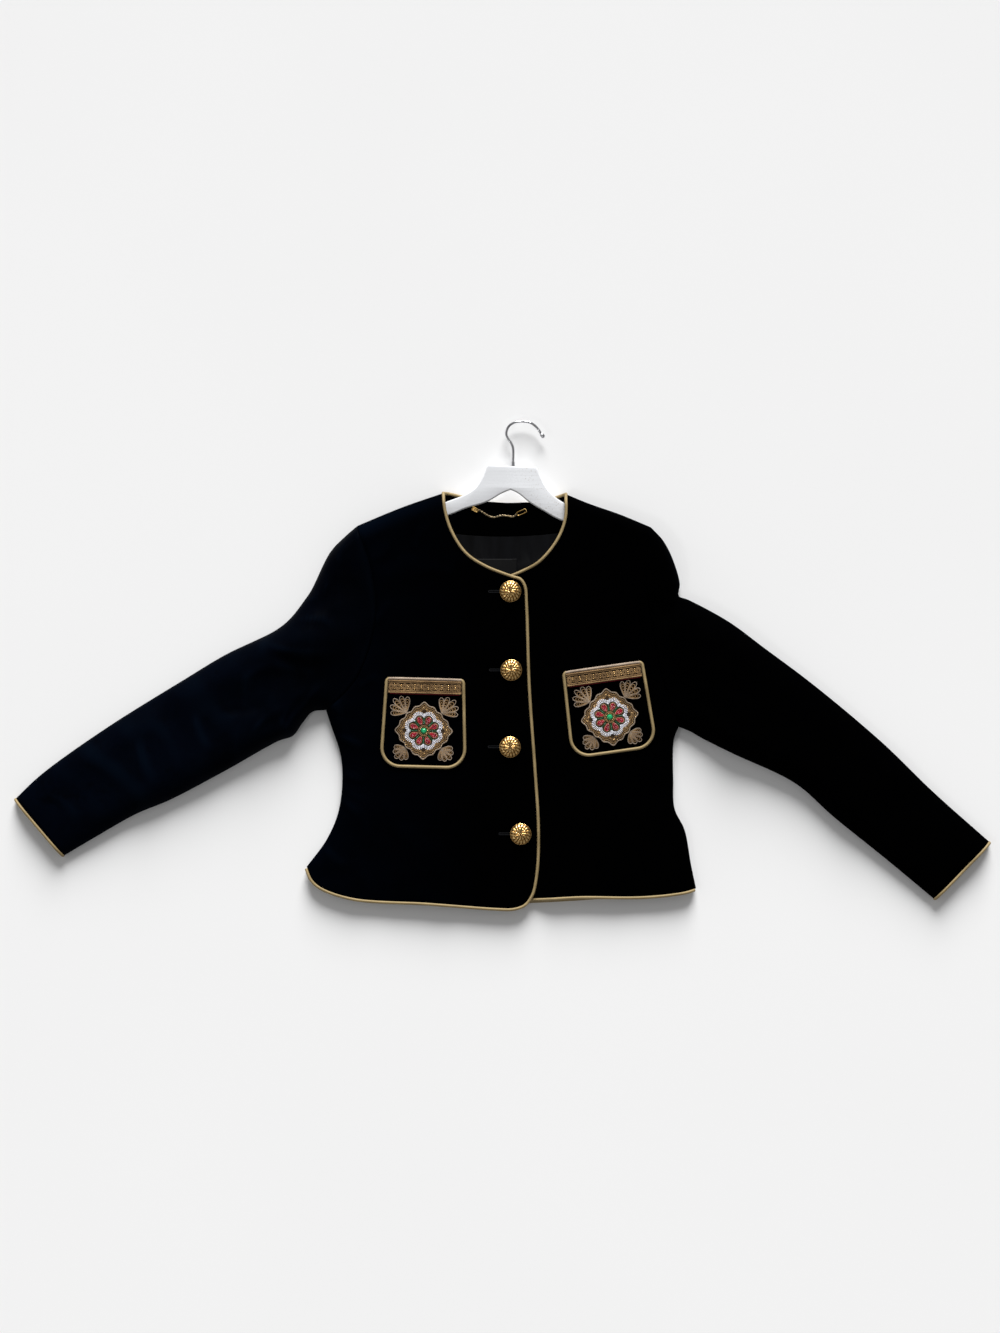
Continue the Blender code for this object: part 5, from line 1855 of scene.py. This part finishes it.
    def beadwork(self) -> list[Piece]:
        """Red petals, white arcs round them, green leaves between them, and small gold beads.

        Returns:
            The new objects, one for each colour.
        """
        petals, full = range(self.petals_round), self.bead_size
        red, white, gold = [], [], []
        for k, (share, count) in itertools.product(petals, self.petal_rings):
            picked = np.linspace(0, 40, count, endpoint=False).astype(int)
            red += [(spot, full) for spot in self.petal(k, share)[picked]]
        for k, extra, share in itertools.product(petals, (0.0, 1.75, 3.5), np.linspace(-1.0, 1.0, 9)):
            angle = self.heading(k) + share * 0.36
            out = 21.6 + extra - 3.6 * share * share
            if out < float(self.reach(angle, 11.0)) + 6.5:
                white.append((self.spot(out, angle), full))
        along = itertools.product(petals, np.arange(9.4, 19.5, 1.7))
        green = [(self.spot(out, k * math.tau / self.petals_round), full * 0.85) for k, out in along]
        for k in range(self.loops):
            angle = (k + 0.25) * math.tau / self.loops
            gold.append((self.spot(float(self.reach(angle)) * 0.98 - self.loop_in, angle), 0.8))
        gold += [(self.spot(float(self.reach(k * math.tau / 64, 2.5)), k * math.tau / 64), 0.55) for k in range(64)]
        gold += [(self.spot(5.0, k * math.tau / 14), 0.75) for k in range(14)]
        colours = (("red", RED_GLASS, red), ("white", WHITE_GLASS, white), ("green", GREEN_GLASS, green))
        colours = (*colours, ("gold", GOLD_GLASS, gold))
        return [self.strew(kind, finish, seed, spots) for seed, (kind, finish, spots) in enumerate(colours, 11)]

    def stone(self) -> Piece:
        """The faceted stone at the heart.

        Returns:
            The new object.
        """
        bm = bmesh.new()
        low, high, depth = (size * MM for size in self.stone_size)
        made = bmesh.ops.create_cone(bm, cap_ends=True, segments=10, radius1=low, radius2=high, depth=depth)["verts"]
        at = place(*self.lay(np.array([[0.0, -self.down]]), 1.2)[0])
        bmesh.ops.translate(bm, vec=at, verts=made)
        rims = [edge for edge in bm.edges if min(vert.co.z for vert in edge.verts) > at.z]
        bmesh.ops.bevel(bm, geom=rims, offset=0.5 * MM, segments=1, profile=0.5, affect="EDGES", material=-1)
        return self.sewn(bm, "stone", GREEN_STONE)


@dataclass
class Button:
    """A domed metal button with a cut relief, and the worked slit beside it."""

    number: int
    x: float
    y: float
    radius: float = 14.0
    shank: float = 3.6
    steps: int = 128
    relief: float = 1.1
    fine: float = 0.45  # the step along the dome's profile
    dome: int = 7  # where the dome begins in the profile
    rings: Table = ((0.0, 0.36, 7.0, 0.0), (0.2, 0.64, 11.0, 0.6), (0.5, 1.0, 17.0, 1.1))  # from, to, leaves, turn
    slit: tuple[float, float] = (-27.5, -2.0)
    profile: Table = (
        (0, 0), (3.6, 0), (3.6, 1.6), (9, 1.8), (12.4, 2.4), (13.6, 3.2), (14, 4.1), (13.95, 4.6),
        (13.7, 5.2), (13.3, 5.75), (12.8, 6.25), (12.2, 6.8), (11.5, 7.3), (10.8, 7.75), (10, 8.2), (9.2, 8.55),
        (8.4, 8.88), (7.6, 9.15), (6.8, 9.4), (6, 9.6), (5.2, 9.78), (4.4, 9.92), (3.6, 10.04), (2.8, 10.14),
        (2, 10.2), (1.2, 10.26), (0, 10.3),
    )

    def cut(self, out: float, angle: float) -> float:
        """How deep the relief is cut between its rings of curled leaves.

        Args:
            out: the place's distance from the dome's middle.
            angle: its angle.

        Returns:
            A share from 0 to 1.
        """
        share = out / self.radius
        high = 1.0 - float(ease(share / 0.07))
        for start, stop, leaves, turn in self.rings:
            t = (share - start) / (stop - start)
            if 0.0 < t < 1.0:
                bend = leaves * angle / 2 + turn + 1.3 * t + 0.4 * self.number
                leaf = math.sin(math.pi * t) ** 0.5 * abs(math.cos(bend)) ** 0.6
                vein = 0.3 * (1.0 - min(1.0, abs(math.sin(bend)) / 0.25))
                high = max(high, leaf - vein * math.sin(math.pi * t))
        return (1.0 - high) * float(ease(self.radius - 0.1 - out))

    def build(self, panel: Ground) -> None:
        """Turns the button, cuts its relief and works the slit.

        Args:
            panel: the upper face that it is sewn to.
        """
        around = [(self.x + self.shank * math.cos(t), self.y + self.shank * math.sin(t)) for t in range(6)]
        base = max(panel.height(*spot) for spot in [(self.x, self.y), *around]) + GAP
        bm = bmesh.new()
        dome = Line(np.array(self.profile[self.dome :])).evenly(self.fine)
        spots = [*self.profile[: self.dome], *dome]
        chain = [bm.verts.new((radius * MM, 0.0, height * MM)) for radius, height in spots]
        edges = [bm.edges.new(pair) for pair in zip(chain, chain[1:])]
        bmesh.ops.spin(
            bm, geom=chain + edges, cent=(0, 0, 0), axis=(0, 0, 1), angle=math.tau, steps=self.steps, use_merge=True
        )
        bmesh.ops.remove_doubles(bm, verts=bm.verts, dist=0.00002)
        layer = bm.loops.layers.uv.verify()
        for vert in bm.verts:
            if vert.co.z > 4.0 * MM:
                out = math.hypot(vert.co.x, vert.co.y) / MM
                depth = self.cut(out, math.atan2(vert.co.y, vert.co.x))
                vert.co.z -= depth * self.relief * MM
                for loop in vert.link_loops:
                    loop[layer].uv = (out / self.radius, depth)
        bmesh.ops.translate(bm, vec=place(self.x, self.y, base), verts=bm.verts)
        bmesh.ops.recalc_face_normals(bm, faces=bm.faces)
        name = f"button_{self.number}"
        put(bm, name, BUTTON_GOLD, [name])
        self.work_slit(panel)

    def work_slit(self, panel: Ground) -> None:
        """The worked buttonhole: close stitches round a slit that runs to the left from the button.

        Args:
            panel: the upper face that it is cut in.
        """
        start, end = self.x + self.slit[0], self.x + self.slit[1]
        bm = bmesh.new()
        t = np.linspace(-math.pi / 2, math.pi / 2, 7)
        right = [(end + 1.0 * math.cos(a), self.y + 1.15 * math.sin(a)) for a in t]
        left = [(start - 1.0 * math.cos(a), self.y - 1.15 * math.sin(a)) for a in t]
        ring = Line(np.array([*right, *left, right[0]])).evenly(0.45)[:-1]
        tube(bm, np.column_stack([ring, panel.heights(ring) + 0.35]), plied(0.75, 1, 0.9, 0.45), 6, True, flat=0.8)
        put(bm, f"buttonhole_{self.number}", THREAD)


@dataclass
class Neck:
    """What shows inside the neck: the facing, the lining, the bare label and the hanging chain."""

    facing: float = 1.5
    roll: float = 2.3
    lining: float = 1.2
    lining_low: float = 90.0
    tuck: float = 1.5  # how far the lining runs in under the facing
    fold: float = 1.5
    label: Row = (-8.0, 126.0, 56.0, 26.0, 1.0)  # x, y, width, height, thickness
    stitches: int = 4  # at each corner of the label
    stitch_radius: float = 0.22
    facing_top: Table = (
        (-64, 211), (-49, 214.4), (-18.9, 213.8), (8.5, 212.2), (35.8, 212.9), (52, 211.8), (61, 206),
    )
    facing_low: Table = ((-92, 176), (-40, 170), (6, 168.5), (50, 170.5), (100, 176))

    def build(self) -> None:
        """Makes and dresses everything inside the neck."""
        facing = self.build_facing()
        lining = self.build_lining()
        self.build_label(Ground(lining))
        Chain().build(Ground(facing))

    def build_facing(self) -> Piece:
        """The velvet facing, rolled up over the braid at its top.

        Returns:
            The new object.
        """
        top, low = Line.through(self.facing_top), Line.through(self.facing_low)
        plan = between_lines(low, top, 24, 60)
        from_top = np.linalg.norm(plan - plan[-1:], axis=-1)
        middle = ease((58.0 - np.abs(plan[..., 0] - 4.0)) / 14.0)
        level = CLOTH + GAP + self.facing + self.roll * ease((10.0 - from_top) / 6.0) * middle
        return cloth("neck_facing", plan, level, self.facing, VELVET, "back")

    def build_lining(self) -> Piece:
        """The satin lining, in soft upright folds below the facing.

        Returns:
            The new object.
        """
        low = Line.through(self.facing_low)
        edge = low.moved(self.tuck)
        base = Line(np.array([(edge.points[0, 0], self.lining_low), (edge.points[-1, 0], self.lining_low)]))
        plan = between_lines(base, edge, 30, 110)
        x, y = plan[..., 0], plan[..., 1]
        wave = np.sin(x / 7.3 + y / 31.0) * np.sin(x / 17.0)
        fine = 0.25 * np.sin(x / 2.6 + 2.0 * np.sin(y / 19.0)) * np.sin(x / 9.0 + 1.0)
        tucked = ease(np.linalg.norm(plan - plan[-1:], axis=-1) / 30.0)
        level = CLOTH + GAP + self.lining + tucked * (self.fold * np.abs(wave) ** 1.3 + np.abs(fine))
        return cloth("lining", plan, level, self.lining, SATIN, "back")

    def build_label(self, lining: Ground) -> None:
        """The bare label, and the thread that holds its corners.

        Args:
            lining: the lining's upper face.
        """
        x, y, wide, high, thick = self.label
        across = x + np.linspace(-wide / 2, wide / 2, 40)
        up = y + np.linspace(-high / 2, high / 2, 20)
        plan = np.array([[(a, b) for a in across] for b in up])
        flat = lining.heights(plan[::6, ::6]).max() + GAP + thick
        level = np.full(plan.shape[:2], flat) + 0.25 * np.sin(plan[..., 0] / 9.0) * np.sin(plan[..., 1] / 11.0)
        piece = cloth("label", plan, level, thick, LABEL)
        bm = bmesh.new()
        for side, end, k in itertools.product((-1, 1), (-1, 1), range(self.stitches)):
            start = np.array([x + side * (wide / 2 - 1.6 - k * 1.3), y + end * (high / 2 - 1.2)])
            path = [(*start, flat + 0.2), (*(start + (0.1, end * 0.9)), flat + 0.45)]
            path.append((start[0] + 0.2, start[1] + end * 2.0, flat - 0.4))
            tube(bm, np.array(path), round_section(self.stitch_radius), 5)
        put(bm, "label_thread", THREAD)


@dataclass
class Chain:
    """The fine chain that the jacket hangs by, between its two metal ends."""

    line: Table = ((-29.5, 203), (-12.4, 193.6), (2, 195.7), (15.7, 194.3), (19.6, 197.4))
    pitch: float = 1.75
    link: tuple[float, float] = (1.35, 0.85)
    wire: float = 0.34

    def ring(self, bm: BMesh, centre: Array, run: Row, size: Row, wire: float, lean: float) -> None:
        """Adds one oval link.

        Args:
            bm: the mesh that it is added to.
            centre: its middle.
            run: the direction of its long way, in the plane.
            size: half its length and half its width.
            wire: the wire's radius.
            lean: how far it leans out of the plane, in radians.
        """
        t = angles_round(14)
        length, width = size[0] * np.cos(t), size[1] * np.sin(t)
        aside = width * math.cos(lean)
        x = centre[0] + length * run[0] - aside * run[1]
        y = centre[1] + length * run[1] + aside * run[0]
        z = centre[2] + width * math.sin(lean)
        tube(bm, np.column_stack([x, y, z]), round_section(wire), 5, True)

    def build(self, ground: Ground) -> None:
        """Makes the links and both ends.

        Args:
            ground: the upper face of the facing.
        """
        line = Line.through(self.line, 0.5)
        spots = line.evenly(self.pitch)
        runs = np.gradient(spots, axis=0)
        runs /= np.linalg.norm(runs, axis=1)[:, None]
        bm = bmesh.new()
        for k, (spot, run) in enumerate(zip(spots, runs)):
            centre = np.array([*spot, ground.height(*spot) + 1.45])
            self.ring(bm, centre, run, self.link, self.wire, 0.35 if k % 2 else 1.25)
        put(bm, "chain", CHAIN_GOLD, ["chain"])
        self.end("chain_tab_right", ground, (-34.6, 203.4), (4.1, 2.2), -0.45, True)
        self.end("chain_tab_left", ground, (26.4, 200.0), (6.4, 2.4), 0.42, False)

    def end(self, name: str, ground: Ground, at: Row, size: Row, turn: float, filled: bool) -> None:
        """One metal end: an open frame of wire, or a filled one with its ring.

        Args:
            name: the piece's name, which is also the node that it replaces.
            ground: the upper face of the facing.
            at: its middle.
            size: half its length and half its width.
            turn: how far it is turned, in radians.
            filled: whether its middle is filled.
        """
        half_long, half_wide = size
        bm = bmesh.new()
        corner = min(half_wide * 0.6, 1.2)
        t = angles_round(36)
        x = np.clip(np.cos(t) * (half_long + half_wide), -(half_long - corner), half_long - corner)
        x = x + corner * np.cos(t)
        y = np.clip(np.sin(t) * (half_long + half_wide), -(half_wide - corner), half_wide - corner)
        y = y + corner * np.sin(t)
        plan = np.column_stack(rotated(x, y, turn)) + at
        level = max(ground.height(*spot) for spot in plan) + GAP + 0.75
        tube(bm, np.column_stack([plan, np.full(len(plan), level)]), round_section(0.7), 8, True)
        if filled:
            made = bmesh.ops.create_uvsphere(bm, u_segments=16, v_segments=8, radius=1.0)["verts"]
            for vert in made:
                x, y = rotated(vert.co.x * (half_long - 0.5), vert.co.y * (half_wide - 0.5), turn)
                vert.co = place(at[0] + x, at[1] + y, level + vert.co.z * 0.55)
        put(bm, name, BRASS, [name])


@dataclass
class Hanger:
    """The flat wooden hanger inside the jacket, and its wire hook."""

    thick: float = 11.0
    level: float = CLOTH + GAP + 2.3 + 1.5 + GAP
    edge: float = 1.8
    hook_radius: float = 1.7
    ferrule: Row = (15.0, 259.0, 265.5)  # x, and from y to y
    upper: Table = (
        (45.6, 258.1), (52, 242.5), (60.5, 228.6), (69.6, 219.6), (82, 211.5), (120, 196), (160, 180),
        (172, 173), (175, 166), (170, 161), (158, 162.5), (118, 178.5), (78, 188.8),
        (52, 203), (36.3, 212.6), (22, 224), (11.8, 228.9),
    )
    lower: Table = (
        (11.8, 228.9), (0, 224), (-18.9, 213.2), (-46.2, 204.8), (-67.7, 195.9), (-112, 179.5),
        (-154, 162.5), (-165, 160), (-169.5, 166), (-166, 174), (-154, 180.5), (-112, 198),
        (-69.6, 213.9), (-48.8, 221.9), (-34.5, 230.8), (-24, 246), (-18.1, 260.7),
    )
    hook: Table = (
        (15, 261.9), (15, 283.3), (12.6, 289.5), (8.5, 295.5), (6.2, 302.3), (9.5, 311.5), (17.3, 316.6),
        (29.9, 317.8), (39, 315.6), (46.8, 309), (52.4, 300.7), (55.6, 296.9),
    )

    def build(self) -> None:
        """Makes and dresses the bar and the hook."""
        bm = bmesh.new()
        outline = Line.through(self.upper, 3.5).join(Line.through(self.lower, 3.5)).points
        ring = [bm.verts.new(place(x, y, self.level)) for x, y in outline]
        base = bm.faces.new(ring)
        lifted = bmesh.ops.extrude_face_region(bm, geom=[base])
        new = [item for item in lifted["geom"] if isinstance(item, bmesh.types.BMVert)]
        bmesh.ops.translate(bm, verts=new, vec=(0.0, 0.0, self.thick * MM))
        bmesh.ops.recalc_face_normals(bm, faces=bm.faces)
        rims = [edge for edge in bm.edges if abs(edge.verts[0].co.z - edge.verts[1].co.z) < 1e-6]
        bmesh.ops.bevel(bm, geom=rims, offset=self.edge * MM, segments=3, profile=0.5, affect="EDGES", material=-1)
        bar = put(bm, "hanger_bar", WHITE_WOOD, ["hanger_bar"])
        bar.visible_shadow = False  # the photo shows none below the hanger
        self.build_hook()

    def build_hook(self) -> None:
        """The wire hook, with its thicker tip and the ferrule at its foot."""
        line = Line.through(self.hook, 1.0)
        points, total = line.evenly(1.2), line.total
        level = self.level + self.thick / 2

        def section(along: Array, angles: Array) -> Array:
            """The wire's radius, which swells at its rounded tip."""
            tip = 0.95 * ease((along - total + 7.0) / 2.0) - 1.3 * ease((along - total + 0.8) / 0.8)
            return self.hook_radius + tip + 0.0 * angles

        bm = bmesh.new()
        tube(bm, np.column_stack([points, np.full(len(points), level)]), section, 20)
        x, start, end = self.ferrule
        foot = np.column_stack([np.full(7, x), np.linspace(start, end, 7), np.full(7, level)])
        tube(bm, foot, lambda along, angles: 2.7 - 0.5 * ease(along - 5.0) + 0.0 * angles, 20)
        put(bm, "hanger_hook", CHROME, ["hanger_hook"])


@dataclass
class Studio:
    """The pale floor, the soft lights and the camera straight above."""

    lens: float = 85.0
    sensor: float = 36.0
    frame_high: float = 1333 * 1.3 * MM  # the picture's pixels at 1.3 mm each
    aim: tuple[float, float] = (-0.0032, -0.0013)
    cloth_level: float = 0.02
    floor_half: float = 30.0
    world: float = 0.26
    lights: tuple[tuple[str, Row, float, float], ...] = (  # name, where from, power, and spread in degrees
        ("key light", (0.12, 1.5, 0.7), 5.35, 34.0),
        ("side light", (-2.0, 0.5, 0.75), 0.12, 30.0),
        ("low light", (-1.2, -0.8, 1.6), 0.15, 6.0),
    )

    def build(self) -> None:
        """Sets up everything that isn't the object."""
        bm = bmesh.new()
        bmesh.ops.create_grid(bm, x_segments=2, y_segments=2, size=self.floor_half)
        mesh = bpy.data.meshes.new("pale_floor")
        bm.to_mesh(mesh)
        bm.free()
        mesh.materials.append(FLOOR.material())
        add_object("pale_floor", mesh)

        scene, world = bpy.context.scene, bpy.data.worlds.new("soft room")
        world.use_nodes = True
        sky = world.node_tree.nodes["Background"].inputs
        sky["Color"].default_value = (1.0, 1.0, 1.0, 1.0)
        sky["Strength"].default_value = self.world
        scene.world = world
        for name, where, power, spread in self.lights:
            lamp = bpy.data.lights.new(name, "SUN")
            lamp.energy, lamp.angle = power, math.radians(spread)
            obj = add_object(name, lamp)
            obj.location = where
            obj.rotation_euler = (-Vector(where)).to_track_quat("-Z", "Y").to_euler()
        scene.view_settings.view_transform = "Standard"

        camera = bpy.data.cameras.new("camera above")
        camera.lens, camera.sensor_width = self.lens, self.sensor
        eye = add_object("camera above", camera)
        eye.location = (*self.aim, self.cloth_level + self.frame_high * self.lens / self.sensor)
        scene.camera = eye


def main() -> None:
    """Builds every piece in order."""
    Studio().build()
    braid, body = Braid(), Body()
    body.build()
    braid.bind(body)
    for side in Side:
        Sleeve(side).build(braid)
    pockets = (
        Pocket(Side.RIGHT, -100.7, -74.8, -1.5, 104.0, 114.0, 118.0),
        Pocket(Side.LEFT, 139.1, -57.2, 8.0, 107.0, 114.0, 115.0),
    )
    for pocket in pockets:
        pocket.build(Ground(body.pieces[f"front_{pocket.side.value}"]), braid)
    top_front = Ground(body.pieces["front_right"])
    for number, (x, y) in enumerate(((11.6, 96.1), (12.7, -5.9), (11.1, -105.8), (25.0, -219.1)), 1):
        Button(number, x, y).build(top_front)
    Neck().build()
    Hanger().build()


if __name__ == "__main__":
    logging.basicConfig(level=logging.INFO, format="%(name)s %(message)s")
    main()
